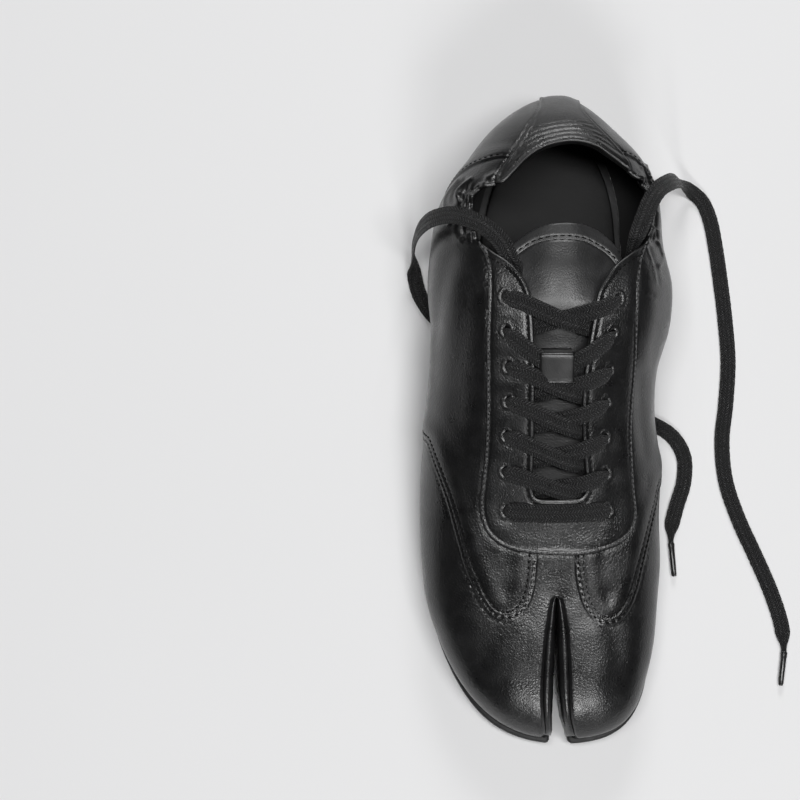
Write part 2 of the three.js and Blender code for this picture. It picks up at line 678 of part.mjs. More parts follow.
// Keeper: a small leather bridge on the tongue that the lace runs under
function makeKeeper() {
  const pair = EYELETS[KEEPER_PAIR];
  const middle = LENGTH * (pair.along + pair.slant / 2 + pair.bow);
  const x = BALL_WIDTH * last.ridge((middle - HEEL_Y) / UPPER_LENGTH);
  const [w, l] = [KEEPER_WIDTH / 2, KEEPER_LENGTH / 2];
  const plan = prism([[x - w, middle - l], [x + w, middle - l], [x + w, middle + l], [x - w, middle + l]]);
  const over = LACE_LIFT + LACE_THICKNESS;
  const heel = middle - l;
  const foot = prism([
    [x - w, heel],
    [x + w, heel],
    [x + w, heel + KEEPER_THICKNESS],
    [x - w, heel + KEEPER_THICKNESS],
  ]);
  const roof = formSolid(over + KEEPER_THICKNESS).intersect(plan).subtract(formSolid(over, -1));
  const leg = formSolid(over + KEEPER_THICKNESS).intersect(foot).subtract(formSolid(-UPPER_WALL, -1));
  return roof.add(leg);
}

// A flat lace swept along points, its width in the direction given at each point
function ribbon(points, widths) {
  const route = new THREE.CatmullRomCurve3(points, false, 'centripetal');
  const across = new THREE.CatmullRomCurve3(widths, false, 'centripetal');
  const steps = Math.round(1.2 * (points.length - 1));
  route.computeFrenetFrames = (count) => {
    const frames = { tangents: [], normals: [], binormals: [] };
    for (let i = 0; i <= count; i += 1) {
      const tangent = route.getTangentAt(i / count);
      const share = route.getUtoTmapping(i / count);
      const thin = new THREE.Vector3().crossVectors(tangent, across.getPoint(share)).normalize();
      frames.tangents.push(tangent);
      frames.normals.push(new THREE.Vector3().crossVectors(thin, tangent).normalize());
      frames.binormals.push(thin);
    }
    return frames;
  };
  const [w, t] = [LACE_WIDTH / 2, LACE_THICKNESS / 2];
  const section = new THREE.Shape([
    new THREE.Vector2(-w, -0.4 * t),
    new THREE.Vector2(-w + t, -t),
    new THREE.Vector2(w - t, -t),
    new THREE.Vector2(w, -0.4 * t),
    new THREE.Vector2(w, 0.4 * t),
    new THREE.Vector2(w - t, t),
    new THREE.Vector2(-w + t, t),
    new THREE.Vector2(-w, 0.4 * t),
  ]);
  const geometry = new THREE.ExtrudeGeometry(section, { steps, extrudePath: route, bevelEnabled: false });
  const solid = solidOf(geometry);
  if (solid.volume() > 0) return solid;
  const flipped = geometry.getAttribute('position').array;
  for (let i = 0; i < flipped.length; i += 9) {
    for (let k = 0; k < 3; k += 1) {
      [flipped[i + k], flipped[i + 3 + k]] = [flipped[i + 3 + k], flipped[i + k]];
    }
  }
  return solidOf(geometry);
}

// Lace over the eyestay: its middle line's height above the last
const LACE_LIFT = GAP + EYESTAY_THICKNESS + 2 * GAP + LACE_THICKNESS / 2;

function openingEdge(side, y) {
  const column = smoothColumn(OPENING, side, (row) => row.along);
  return BALL_WIDTH * column(y / LENGTH);
}

// The direction over the last's surface that is (dx, dy) in plan, for a lace that lies flat on it
function overLast(x, y, dx, dy) {
  const rise = (heightAt(x + dx, y + dy) - heightAt(x - dx, y - dy)) / 2;
  return new THREE.Vector3(dx, dy, rise).normalize();
}

// One lace from its eyelet over the throat to the far edge of the throat
function crossing(pair, side, over) {
  const far = side === 'lateral' ? 'medial' : 'lateral';
  const sign = side === 'lateral' ? 1 : -1;
  const x0 = BALL_WIDTH * pair[side];
  const y0 = LENGTH * pair.along;
  const y1 = y0 + LENGTH * pair.slant;
  const x1 = openingEdge(far, y1) + sign * (2 * GAP + LACE_WIDTH / 4);
  const dive = pair === EYELETS[KEEPER_PAIR] ? [0.38, 0.6] : [0.55, 0.95];
  const shares = [0, 0.2, 0.4, 0.6, 0.8, 1];
  const points = shares.map((share) => {
    const x = x0 + (x1 - x0) * share;
    const y = y0 + (y1 - y0) * share + 4 * LENGTH * pair.bow * share * (1 - share);
    const sink = (LACE_LIFT + LACE_THICKNESS / 4) * blend(dive[0], dive[1], share);
    const raise = over * LACE_THICKNESS * blend(0.1, 0.45, share) * (1 - blend(0.6, 0.9, share));
    return new THREE.Vector3(x, y, heightAt(x, y) + LACE_LIFT - sink + raise);
  });
  const turn = (sign * (y1 - y0)) / Math.abs(x1 - x0);
  return ribbon(points, points.map((point) => overLast(point.x, point.y, turn, 1)));
}

function makeBar() {
  const pair = EYELETS[0];
  const [a, b] = [BALL_WIDTH * pair.medial, BALL_WIDTH * pair.lateral];
  const shares = [0, 0.2, 0.4, 0.6, 0.8, 1];
  const points = shares.map((share) => {
    const x = a + (b - a) * share;
    const y = LENGTH * (pair.along + 4 * pair.bow * share * (1 - share));
    return new THREE.Vector3(x, y, heightAt(x, y) + LACE_LIFT);
  });
  return ribbon(points, points.map((point) => overLast(point.x, point.y, 0, 1)));
}

function makeCrossing(index) {
  const upperPair = EYELETS[index];
  return crossing(upperPair, 'lateral', 1).add(crossing(upperPair, 'medial', 0));
}

function makeLaceEnd(rows) {
  return ribbon(
    rows.map(([x, y, z]) => new THREE.Vector3(x, y, z)),
    rows.map(([, , , x, y, z]) => new THREE.Vector3(x, y, z).normalize()),
  );
}

function makeAglet(rows, tip) {
  const end = new THREE.Vector3(...rows.at(-1).slice(0, 2), tip[2]);
  const far = new THREE.Vector3(...tip);
  const along = far.clone().sub(end).normalize();
  const r = AGLET_DIAMETER / 2;
  const profile = [[0, 0], [r, 0], [r, AGLET_LENGTH - 0.6], [r - 0.5, AGLET_LENGTH], [0, AGLET_LENGTH]];
  const geometry = new THREE.LatheGeometry(profile.map(([x, y]) => new THREE.Vector2(x, y)), 10);
  geometry.applyQuaternion(new THREE.Quaternion().setFromUnitVectors(new THREE.Vector3(0, 1, 0), along));
  const start = end.add(along.multiplyScalar(GAP));
  geometry.translate(start.x, start.y, start.z);
  return solidOf(geometry);
}

// Sole: its outline swept through a few levels, with a grooved side and shallow flex grooves
function soleRing(at, inset, level) {
  const open = Math.sin(turnOf(at)) > 1e-6 ? 1 : 0;
  const y = HEEL_Y + SOLE_TUCK + inset + (SOLE_LENGTH - 2 * inset) * at;
  const middle = BALL_WIDTH * footprint.ridge(at);
  const z = soleBottom(y) + (soleTop(y) - soleBottom(y)) * level;
  const lateral = Math.max(0, BALL_WIDTH * footprint.lateral(at) - inset * open);
  const medial = Math.max(0, BALL_WIDTH * footprint.medial(at) - inset * open);
  return [new THREE.Vector3(middle + lateral, y, z), new THREE.Vector3(middle - medial, y, z)];
}

function slabSolid(levels, soleLike) {
  const rings = [];
  for (let i = 0; i <= STATIONS; i += 1) {
    const at = (1 - Math.cos((Math.PI * i) / STATIONS)) / 2;
    const sides = levels.map(({ inset, level }) => soleLike(at, inset, level));
    rings.push([...sides.map(([right]) => right), ...sides.map(([, left]) => left).reverse()]);
  }
  return loft(rings);
}

function makeOutsole() {
  const side = [
    { inset: 1.6, level: 0 },
    { inset: 0.3, level: 0.22 },
    { inset: 0, level: 0.5 },
    { inset: 0.8, level: 0.58 },
    { inset: 0.1, level: 0.68 },
    { inset: 0.4, level: 1 },
  ];
  let sole = slabSolid(side, soleRing).subtract(slitSolid(2 * GAP, 0.805));
  const grooves = [0.6, 0.635, 0.67, 0.705, 0.74, 0.775, 0.1, 0.14, 0.18];
  for (const at of grooves) {
    const y = HEEL_Y + SOLE_TUCK + SOLE_LENGTH * at;
    const half = BALL_WIDTH * 0.8;
    const groove = new THREE.BoxGeometry(2 * half, TREAD_WIDTH, 2 * TREAD_DEPTH);
    groove.translate(0, y, 0);
    sole = sole.subtract(solidOf(groove));
  }
  return sole;
}

// The two sides of a flat layer on the sole, from one height above the sole's top to another
function bedRing(low, high) {
  return (at, inset, level) => {
    const ends = soleRing(at, inset, 1);
    for (const point of ends) point.z += low + (high - low) * level;
    return ends;
  };
}

function makeInsole() {
  const inset = SOLE_EDGE + UPPER_WALL + 2 * GAP;
  const bed = bedRing(GAP, GAP + INSOLE_THICKNESS);
  return slabSolid([{ inset, level: 0 }, { inset, level: 1 }], bed).subtract(
    slitSolid(GUSSET_WALL + 2 * GAP),
  );
}

// Materials
const leather = new THREE.MeshStandardMaterial({ color: 0x141414, roughness: 0.42, metalness: 0 });
const lining = new THREE.MeshStandardMaterial({ color: 0x1b1b1b, roughness: 0.7, metalness: 0 });
const rubber = new THREE.MeshStandardMaterial({ color: 0x121212, roughness: 0.65, metalness: 0 });
const cotton = new THREE.MeshStandardMaterial({ color: 0x1c1c1c, roughness: 0.85, metalness: 0 });
const film = new THREE.MeshStandardMaterial({ color: 0x0c0c0c, roughness: 0.25, metalness: 0 });

const shoe = new THREE.Group();

function put(name, solid, material) {
  const mesh = new THREE.Mesh(geometryOf(solid), material);
  mesh.name = name;
  shoe.add(mesh);
}

put('outsole', makeOutsole(), rubber);
put('insole', makeInsole(), lining);
put('upper', makeUpper(), leather);
put('toe_gusset', makeGusset(), leather);
put('eyestay', makeEyestay(), leather);
put('heel_strip', makeHeelStrip(), leather);
put('counter_lateral', makeCounter(COUNTER_LATERAL_TOP, 1), leather);
put('counter_medial', makeCounter(COUNTER_MEDIAL_TOP, -1), leather);
put('collar_lateral', makeCollar(COLLAR_LATERAL, COUNTER_LATERAL_TOP, 1), leather);
put('collar_medial', makeCollar(COLLAR_MEDIAL, COUNTER_MEDIAL_TOP, -1), leather);
put('tongue', makeTongue(), leather);
put('tongue_keeper', makeKeeper(), leather);
put('lace_bar', makeBar(), cotton);
for (let i = 1; i < EYELETS.length; i += 1) put(`lace_cross_${i}`, makeCrossing(i), cotton);
put('lace_end_lateral', makeLaceEnd(LATERAL_END), cotton);
put('lace_end_medial', makeLaceEnd(MEDIAL_END), cotton);
put('aglet_lateral', makeAglet(LATERAL_END, LATERAL_AGLET), film);
put('aglet_medial', makeAglet(MEDIAL_END, MEDIAL_AGLET), film);

// The origin is under the middle of the shoe itself, on the floor
shoe.updateMatrixWorld(true);
const extent = new THREE.Box3();
for (const mesh of shoe.children) {
  if (!/^(lace_end|aglet)/.test(mesh.name)) extent.expandByObject(mesh, true);
}
const centre = extent.getCenter(new THREE.Vector3());
shoe.position.set(-centre.x, -centre.y, -extent.min.z);

export default shoe;
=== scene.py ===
"""A split toe driving shoe for the right foot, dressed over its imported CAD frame.

Everything is worked out in millimetres on the last, the form that the leather is drawn over, and
turned into metres in the row frame when a mesh is made.
"""

import logging
import math
from collections.abc import Callable
from dataclasses import dataclass, field
from enum import Enum

import bmesh
import bpy
import numpy as np
from mathutils import Matrix, Vector
from mathutils.geometry import delaunay_2d_cdt

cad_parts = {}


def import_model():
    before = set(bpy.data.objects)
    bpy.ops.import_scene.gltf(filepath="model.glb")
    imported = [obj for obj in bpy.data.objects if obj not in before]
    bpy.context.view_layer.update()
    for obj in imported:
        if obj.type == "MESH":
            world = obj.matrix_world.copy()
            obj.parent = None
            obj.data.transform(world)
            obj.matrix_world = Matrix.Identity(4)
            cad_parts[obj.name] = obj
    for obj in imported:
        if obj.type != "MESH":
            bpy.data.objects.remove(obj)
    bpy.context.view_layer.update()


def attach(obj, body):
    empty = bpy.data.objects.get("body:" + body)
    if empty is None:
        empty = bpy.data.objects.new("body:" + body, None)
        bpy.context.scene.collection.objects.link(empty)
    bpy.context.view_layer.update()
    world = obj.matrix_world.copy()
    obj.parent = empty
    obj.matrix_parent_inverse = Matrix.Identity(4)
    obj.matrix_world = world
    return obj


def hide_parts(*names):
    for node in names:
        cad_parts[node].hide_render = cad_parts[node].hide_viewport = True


LOG = logging.getLogger("shoe")
Colour = tuple[float, float, float]
Material = bpy.types.Material
Socket = bpy.types.NodeSocket
MM = 0.001
ORIGIN = np.array([-0.86, 1.08, 0.0])
PHOTO_PX = 800
# Seam.nearest gives FAR for a point out of its reach, and what it measures stays under BEYOND
FAR = 1e3
BEYOND = 900.0

LENGTH = 284.0
BALL_WIDTH = 104.5
INSTEP_HEIGHT = 73.0
HEEL_Y = -LENGTH / 2
UPPER_LENGTH = LENGTH - 2.1
SOLE_TUCK = 4.5
SOLE_LENGTH = LENGTH - SOLE_TUCK
SOLE_EDGE = 1.8

# share of the length, then as shares of the ball width: ridge, lateral half, medial half; as
# shares of the instep height: crown, widest line; and how square the arch is
SECTIONS = np.array([
    (0.0, -0.061, 0.0, 0.0, 0.315, 0.315, 2.2),
    (0.02, -0.065, 0.172, 0.113, 0.54, 0.322, 2.2),
    (0.06, -0.071, 0.308, 0.22, 0.73, 0.336, 2.2),
    (0.113, -0.078, 0.42, 0.335, 0.85, 0.356, 2.25),
    (0.18, -0.078, 0.528, 0.398, 0.925, 0.37, 2.3),
    (0.25, -0.071, 0.557, 0.418, 0.973, 0.384, 2.3),
    (0.31, -0.057, 0.554, 0.465, 1.0, 0.384, 2.3),
    (0.37, -0.044, 0.528, 0.467, 0.993, 0.37, 2.2),
    (0.44, -0.031, 0.517, 0.427, 0.952, 0.336, 2.05),
    (0.5, -0.025, 0.526, 0.425, 0.89, 0.301, 2.0),
    (0.58, -0.023, 0.547, 0.452, 0.788, 0.26, 2.0),
    (0.66, -0.025, 0.555, 0.443, 0.682, 0.233, 2.05),
    (0.73, -0.029, 0.551, 0.442, 0.6, 0.215, 2.15),
    (0.79, -0.033, 0.534, 0.425, 0.542, 0.205, 2.25),
    (0.85, -0.038, 0.486, 0.404, 0.496, 0.198, 2.35),
    (0.91, -0.047, 0.413, 0.358, 0.444, 0.192, 2.4),
    (0.955, -0.056, 0.322, 0.302, 0.378, 0.188, 2.4),
    (0.985, -0.061, 0.206, 0.211, 0.288, 0.186, 2.3),
    (1.0, -0.065, 0.0, 0.0, 0.185, 0.185, 2.2),
])
# the sole: share of its length, middle line, lateral half, medial half as shares of the ball width
FOOTPRINT = np.array([
    (0.0, -0.045, 0.0, 0.0),
    (0.02, -0.045, 0.145, 0.135),
    (0.06, -0.042, 0.235, 0.222),
    (0.13, -0.038, 0.312, 0.29),
    (0.22, -0.034, 0.352, 0.312),
    (0.32, -0.03, 0.368, 0.305),
    (0.42, -0.026, 0.386, 0.288),
    (0.52, -0.024, 0.438, 0.33),
    (0.6, -0.024, 0.49, 0.39),
    (0.68, -0.026, 0.522, 0.418),
    (0.75, -0.03, 0.525, 0.42),
    (0.82, -0.036, 0.5, 0.408),
    (0.88, -0.043, 0.448, 0.384),
    (0.93, -0.052, 0.38, 0.342),
    (0.97, -0.059, 0.282, 0.268),
    (0.99, -0.063, 0.178, 0.178),
    (1.0, -0.065, 0.0, 0.0),
])

# Edges and seams, drawn on the last in plan: sideways and lengthwise millimetres
OPENING_LATERAL = [
    (-11.5, -113.6), (-5.4, -113.2), (2.6, -110.8), (10.3, -105.8), (16.3, -99.9), (20.3, -96.2),
    (25.0, -95.4), (29.6, -94.6), (32.9, -91.2), (34.0, -86.0), (33.4, -80.0), (32.8, -74.5),
    (32.6, -70.8), (31.0, -67.9), (28.6, -66.0), (24.5, -62.7), (19.1, -58.9), (14.6, -54.1),
    (11.8, -49.8), (10.1, -45.0), (9.3, -38.4), (8.6, -26.4), (8.1, -14.1), (8.2, 0.6),
    (8.2, 13.6), (8.4, 26.6), (8.5, 34.6), (6.9, 38.5), (-2.2, 39.5),
]
OPENING_MEDIAL = [
    (-12.7, 38.4), (-14.9, 34.6), (-14.2, 25.2), (-12.9, 12.2), (-12.7, -2.3), (-13.7, -14.1),
    (-15.6, -26.4), (-17.1, -35.0), (-19.1, -46.0), (-22.4, -51.6), (-26.6, -57.3), (-32.6, -62.2),
    (-38.5, -66.3), (-41.6, -69.2), (-43.0, -73.5), (-43.3, -80.0), (-43.9, -87.0), (-43.6, -93.0),
    (-41.3, -97.0), (-37.6, -100.0), (-34.1, -102.4), (-30.2, -104.8), (-25.3, -107.8),
    (-19.0, -111.8),
]
EYESTAY_EDGE = [
    (30.4, -67.4), (28.0, -63.0), (26.8, -57.0), (26.6, -51.0), (26.7, -40.6), (27.0, -29.5),
    (26.9, -16.0), (26.9, -0.1), (27.1, 10.9), (27.7, 21.0), (28.8, 32.2), (29.5, 40.0),
    (28.9, 46.5), (26.4, 52.6), (21.6, 57.2), (15.7, 59.8), (9.5, 61.0), (3.4, 61.7),
    (-2.5, 62.1), (-7.9, 62.2), (-14.9, 61.5), (-21.7, 59.9), (-27.3, 57.7), (-31.8, 54.5),
    (-34.6, 50.2), (-35.8, 44.4), (-34.9, 34.9), (-33.9, 21.5), (-33.3, 10.4), (-33.6, -0.8),
    (-34.4, -11.2), (-34.9, -23.0), (-35.1, -31.5), (-35.5, -40.9), (-35.9, -52.2), (-37.0, -60.0),
    (-39.6, -67.6),
]
LOBE_LATERAL = [
    (7.9, 61.0), (8.1, 64.0), (8.4, 68.4), (9.0, 74.2), (10.7, 80.6), (13.8, 85.2), (18.5, 87.2),
    (23.0, 86.1), (27.5, 81.0), (31.2, 73.2), (34.3, 65.6), (38.1, 52.7), (41.8, 39.7),
    (45.6, 28.8), (48.7, 20.3), (51.4, 12.0),
]
LOBE_MEDIAL = [
    (-12.6, 61.2), (-12.7, 64.5), (-12.9, 69.4), (-14.1, 76.3), (-16.4, 83.0), (-20.0, 87.6),
    (-24.2, 89.4), (-28.9, 87.5), (-32.9, 82.3), (-36.0, 74.6), (-38.2, 66.2), (-40.8, 56.4),
    (-43.4, 46.8), (-45.5, 39.2), (-46.9, 32.5),
]
SLIT_LATERAL = [
    (-0.5, 83.2), (0.1, 86.0), (0.8, 90.5), (1.6, 96.1), (2.5, 106.5), (3.0, 117.8), (2.8, 126.0),
    (2.2, 132.0), (1.6, 136.0), (1.5, 137.9), (1.5, 138.9),
]
SLIT_MEDIAL = [
    (-4.9, 83.2), (-5.5, 86.0), (-6.3, 90.5), (-7.0, 96.1), (-7.8, 106.5), (-8.3, 117.8),
    (-8.7, 126.0), (-9.5, 132.0), (-10.6, 136.0), (-11.2, 137.9), (-11.3, 138.5),
]
SLIT_BACK = [(-4.5, 81.7), (-3.7, 80.5), (-2.7, 80.1), (-1.7, 80.5), (-0.9, 81.7)]
HEEL_LATERAL = [
    (1.8, -139.6), (2.6, -136.0), (3.8, -130.6), (7.2, -124.0), (10.9, -117.5), (14.5, -111.4),
    (18.1, -105.6), (22.0, -99.4), (23.4, -95.8),
]
HEEL_MEDIAL = [
    (-14.8, -139.2), (-14.9, -136.0), (-15.7, -129.9), (-19.5, -123.5), (-24.2, -117.9),
    (-28.5, -112.7), (-32.3, -107.5), (-34.4, -102.4),
]
COUNTER_LATERAL = [
    (18.2, -107.0), (23.0, -107.4), (28.7, -106.8), (33.0, -105.9), (36.6, -104.4), (41.2, -101.2),
    (45.2, -95.6),
]
COUNTER_MEDIAL = [
    (-31.6, -109.0), (-34.4, -108.8), (-37.8, -107.6), (-41.4, -104.2), (-44.6, -99.2),
]
COLLAR_LATERAL = [
    (26.2, -106.9), (33.0, -101.6), (38.6, -96.0), (41.8, -88.0), (41.6, -79.0), (39.0, -70.4),
    (34.6, -63.6), (30.4, -59.6), (26.9, -57.0),
]
COLLAR_MEDIAL = [
    (-35.6, -108.4), (-40.6, -103.4), (-45.6, -97.4), (-47.9, -90.0), (-48.2, -80.0),
    (-46.4, -71.4), (-43.2, -64.6), (-39.6, -60.0), (-36.4, -57.0),
]
EYELETS = [
    ((19.5, 43.6), (-24.2, 43.2)), ((20.0, 27.2), (-23.2, 28.0)), ((19.5, 12.5), (-22.6, 13.2)),
    ((18.9, -1.4), (-22.7, -1.1)), ((18.9, -15.7), (-23.9, -14.2)), ((19.7, -30.6), (-25.1, -29.5)),
    ((20.3, -44.7), (-27.5, -43.4)),
]


def ease(x: np.ndarray, low: float, high: float) -> np.ndarray:
    """Rises smoothly from 0 at low to 1 at high."""
    u = np.clip((np.asarray(x, float) - low) / (high - low), 0.0, 1.0)
    return u * u * (3 - 2 * u)


def bell(x: np.ndarray, width: float) -> np.ndarray:
    """A soft bump of height 1 at 0 with the given half width."""
    return np.exp(-((np.asarray(x, float) / width) ** 2))


class Column:
    """One column of a table, smooth between its rows.

    Args:
        at: The rows' places.
        value: The rows' values.
    """

    def __init__(self, at: np.ndarray, value: np.ndarray) -> None:
        """Works out the slope at every row."""
        self.at, self.value = np.asarray(at, float), np.asarray(value, float)
        step = np.diff(self.at)
        rise = np.diff(self.value) / step
        self.slope = np.empty_like(self.value)
        self.slope[0], self.slope[-1] = rise[0], rise[-1]
        self.slope[1:-1] = (rise[:-1] * step[1:] + rise[1:] * step[:-1]) / (step[1:] + step[:-1])

    def __call__(self, x: np.ndarray) -> np.ndarray:
        """Returns the column's value at each x."""
        x = np.clip(np.asarray(x, float), self.at[0], self.at[-1])
        i = np.clip(np.searchsorted(self.at, x, "right") - 1, 0, len(self.at) - 2)
        span = self.at[i + 1] - self.at[i]
        u = (x - self.at[i]) / span
        rest = 1 - u
        ends = self.value[i] * (1 + 2 * u) * rest**2 + self.value[i + 1] * u * u * (3 - 2 * u)
        return ends + span * u * rest * (self.slope[i] * rest - self.slope[i + 1] * u)


def turn_of(share: np.ndarray) -> np.ndarray:
    """Stretches a share of the length towards both rounded ends."""
    return np.arccos(np.clip(1 - 2 * np.asarray(share, float), -1, 1))


def sole_bottom(y: np.ndarray) -> np.ndarray:
    """Returns the height of the sole's underside."""
    at = np.clip((np.asarray(y, float) - HEEL_Y - SOLE_TUCK) / SOLE_LENGTH, 0, 1)
    arch = 3.4 * ease(at, 0.22, 0.38) * (1 - ease(at, 0.46, 0.62))
    return arch + 4.5 * np.maximum(0, (at - 0.8) / 0.2) ** 2


def sole_top(y: np.ndarray) -> np.ndarray:
    """Returns the height of the sole's top."""
    at = np.clip((np.asarray(y, float) - HEEL_Y - SOLE_TUCK) / SOLE_LENGTH, 0, 1)
    return sole_bottom(y) + 10.5 - 4.0 * ease(at, 0.3, 0.66) - 1.3 * ease(at, 0.8, 1)


def spread(count: int) -> np.ndarray:
    """Returns shares of the length from 0 to 1, closer together towards both ends."""
    return (1 - np.cos(np.linspace(0, math.pi, count))) / 2


def footprint(share: np.ndarray, inset: float) -> tuple[np.ndarray, ...]:
    """Returns the sole's middle line, y and both half widths, moved in by inset."""
    turn = turn_of(share)
    middle, lateral, medial = (
        BALL_WIDTH * Column(turn_of(FOOTPRINT[:, 0]), FOOTPRINT[:, k])(turn) for k in (1, 2, 3)
    )
    y = HEEL_Y + SOLE_TUCK + inset + (SOLE_LENGTH - 2 * inset) * np.asarray(share, float)
    taper = inset * np.minimum(1, np.sin(turn) * 12)
    return middle, y, np.maximum(0, lateral - taper), np.maximum(0, medial - taper)


def run_of(line: np.ndarray) -> np.ndarray:
    """Returns the length along a line at each of its points."""
    return np.concatenate([[0], np.cumsum(np.linalg.norm(np.diff(line, axis=0), axis=1))])


def read_line(line: np.ndarray, run: np.ndarray, at: np.ndarray) -> np.ndarray:
    """Returns the line's points at the given lengths along it."""
    return np.stack([np.interp(at, run, line[:, k]) for k in range(line.shape[1])], axis=1)


def unit(vectors: np.ndarray) -> np.ndarray:
    """Returns vectors at length one."""
    return vectors / np.maximum(np.linalg.norm(vectors, axis=-1, keepdims=True), 1e-9)


def ring_way(ring: np.ndarray, reach: int = 1) -> np.ndarray:
    """Returns the direction of a closed line at each point."""
    return unit(np.roll(ring, -reach, axis=0) - np.roll(ring, reach, axis=0))


def right_of(way: np.ndarray) -> np.ndarray:
    """Returns the directions to the right of flat directions."""
    return np.stack([way[:, 1], -way[:, 0]], axis=1)


def known(away: np.ndarray) -> np.ndarray:
    """True for each distance that Seam.nearest measured within its reach."""
    return np.abs(away) < BEYOND


class Last:
    """The form that the leather is drawn over, unrolled into a flat map.

    The map's first coordinate is the length along the crown from the heel, and the second is the
    length round the section from the crown, positive to the lateral side. Beyond the widest line
    the second goes on down to the sole's edge.
    """

    stations: int = 481
    turns: int = 81
    probe: float = 0.35
    skirt_curve: float = 1.11

    def __init__(self) -> None:
        """Measures the form's sections."""
        turn = turn_of(SECTIONS[:, 0])
        scale = (BALL_WIDTH, BALL_WIDTH, BALL_WIDTH, INSTEP_HEIGHT, INSTEP_HEIGHT, 1.0)
        self.columns = [Column(turn, SECTIONS[:, k + 1] * scale[k]) for k in range(6)]
        self.shares = spread(self.stations)
        ridge, lateral, medial, crown, bulge, full = self.section(self.shares)
        y = HEEL_Y + UPPER_LENGTH * self.shares
        run = np.hypot(np.hypot(np.diff(y), np.diff(ridge)), np.diff(crown))
        self.crown_run = np.concatenate([[0], np.cumsum(run)])
        self.length = float(self.crown_run[-1])
        turns = np.linspace(math.pi / 2, 0, self.turns)
        power = (2 / full)[:, None]
        across = np.cos(turns)[None, :] ** power
        up = np.sin(turns)[None, :] ** power
        self.arch, self.share_by_turn, self.turn_by_share = {}, {}, {}
        even = np.linspace(0, 1, self.turns)
        for side, half in ((1, lateral), (-1, medial)):
            dx = np.diff(across, axis=1) * half[:, None]
            dz = np.diff(up, axis=1) * (crown - bulge)[:, None]
            run = np.cumsum(np.hypot(dx, dz), axis=1)
            run = np.hstack([np.zeros((len(run), 1)), run])
            self.arch[side] = run[:, -1]
            total = np.maximum(run[:, -1:], 1e-9)
            self.share_by_turn[side] = run / total
            self.turn_by_share[side] = np.array([
                np.interp(even, row if row[-1] > 0.5 else even, turns) for row in run / total
            ])
        foot = self.foot(self.shares)
        self.skirt = {}
        for side, half in ((1, lateral), (-1, medial)):
            reach = np.abs(ridge + side * half - (foot[0] + side * foot[2 if side > 0 else 3]))
            drop = bulge - foot[4]
            self.skirt[side] = np.sqrt((reach**2 + drop**2) / 2) * self.skirt_curve

    def section(self, share: np.ndarray) -> list[np.ndarray]:
        """Returns ridge, lateral, medial, crown, bulge and full at each share of the length."""
        turn = turn_of(share)
        return [column(turn) for column in self.columns]

    def foot(self, share: np.ndarray) -> tuple[np.ndarray, ...]:
        """Returns the feather line's middle, y, half widths and height at each share."""
        middle, y, lateral, medial = footprint(share, SOLE_EDGE)
        return middle, y, lateral, medial, sole_top(y) + 0.15

    def _grid(self, table: np.ndarray, share: np.ndarray, column: np.ndarray) -> np.ndarray:
        """Reads a table whose rows follow the length and whose columns run evenly from 0 to 1."""
        row = np.interp(turn_of(share), turn_of(self.shares), np.arange(len(self.shares)))
        col = np.clip(column, 0, 1) * (table.shape[1] - 1)
        r0 = np.clip(row.astype(int), 0, len(self.shares) - 2)
        c0 = np.clip(col.astype(int), 0, table.shape[1] - 2)
        fr, fc = row - r0, col - c0
        low = table[r0, c0] * (1 - fc) + table[r0, c0 + 1] * fc
        high = table[r0 + 1, c0] * (1 - fc) + table[r0 + 1, c0 + 1] * fc
        return low * (1 - fr) + high * fr

    def share_at(self, u: np.ndarray) -> np.ndarray:
        """Returns the share of the length at each run along the crown."""
        turn = np.interp(u, self.crown_run, turn_of(self.shares))
        return (1 - np.cos(turn)) / 2

    def run_at(self, share: np.ndarray) -> np.ndarray:
        """Returns the run along the crown at each share of the length."""
        return np.interp(turn_of(share), turn_of(self.shares), self.crown_run)

    def spans(self, share: np.ndarray, side: int) -> tuple[np.ndarray, np.ndarray]:
        """Returns the section's length to the widest line, and from there to the sole."""
        turn, turns = turn_of(share), turn_of(self.shares)
        return np.interp(turn, turns, self.arch[side]), np.interp(turn, turns, self.skirt[side])

    def place(self, flat: np.ndarray) -> np.ndarray:
        """Returns the points on the last of points on the flat map."""
        u, v = np.clip(flat[:, 0], 0, self.length), flat[:, 1]
        share = self.share_at(u)
        ridge, lateral, medial, crown, bulge, full = self.section(share)
        middle, foot_y, foot_lateral, foot_medial, foot_z = self.foot(share)
        out = np.empty((len(u), 3))
        y = HEEL_Y + UPPER_LENGTH * share
        for side, half, foot_half in ((1, lateral, foot_lateral), (-1, medial, foot_medial)):
            pick = v >= 0 if side > 0 else v < 0
            arch, skirt = self.spans(share, side)
            q = np.abs(v) / np.maximum(arch, 1e-6)
            turn = self._grid(self.turn_by_share[side], share, q)
            power = 2 / full
            x = ridge + side * half * np.cos(turn) ** power
            z = bulge + (crown - bulge) * np.sin(np.maximum(turn, 0)) ** power
            low = np.clip((np.abs(v) - arch) / np.maximum(skirt, 1e-6), 0, 1) * math.pi / 2
            below = np.abs(v) > arch
            inward = 1 - np.cos(low)
            edge = ridge + side * half
            x = np.where(below, edge + (middle + side * foot_half - edge) * inward, x)
            z = np.where(below, bulge + (foot_z - bulge) * np.sin(low), z)
            yy = np.where(below, y + (foot_y - y) * inward, y)
            out[pick] = np.stack([x, yy, z], axis=1)[pick]
        return out

    def normals(self, flat: np.ndarray) -> np.ndarray:
        """Returns the outward directions of the last at points on the flat map."""
        e = self.probe
        u, v = np.clip(flat[:, 0], e, self.length - e), flat[:, 1]
        ahead, behind, right, left = (
            self.place(np.stack([u + i * e, v + j * e], axis=1))
            for i, j in ((1, 0), (-1, 0), (0, 1), (0, -1))
        )
        return unit(np.cross(right - left, ahead - behind))

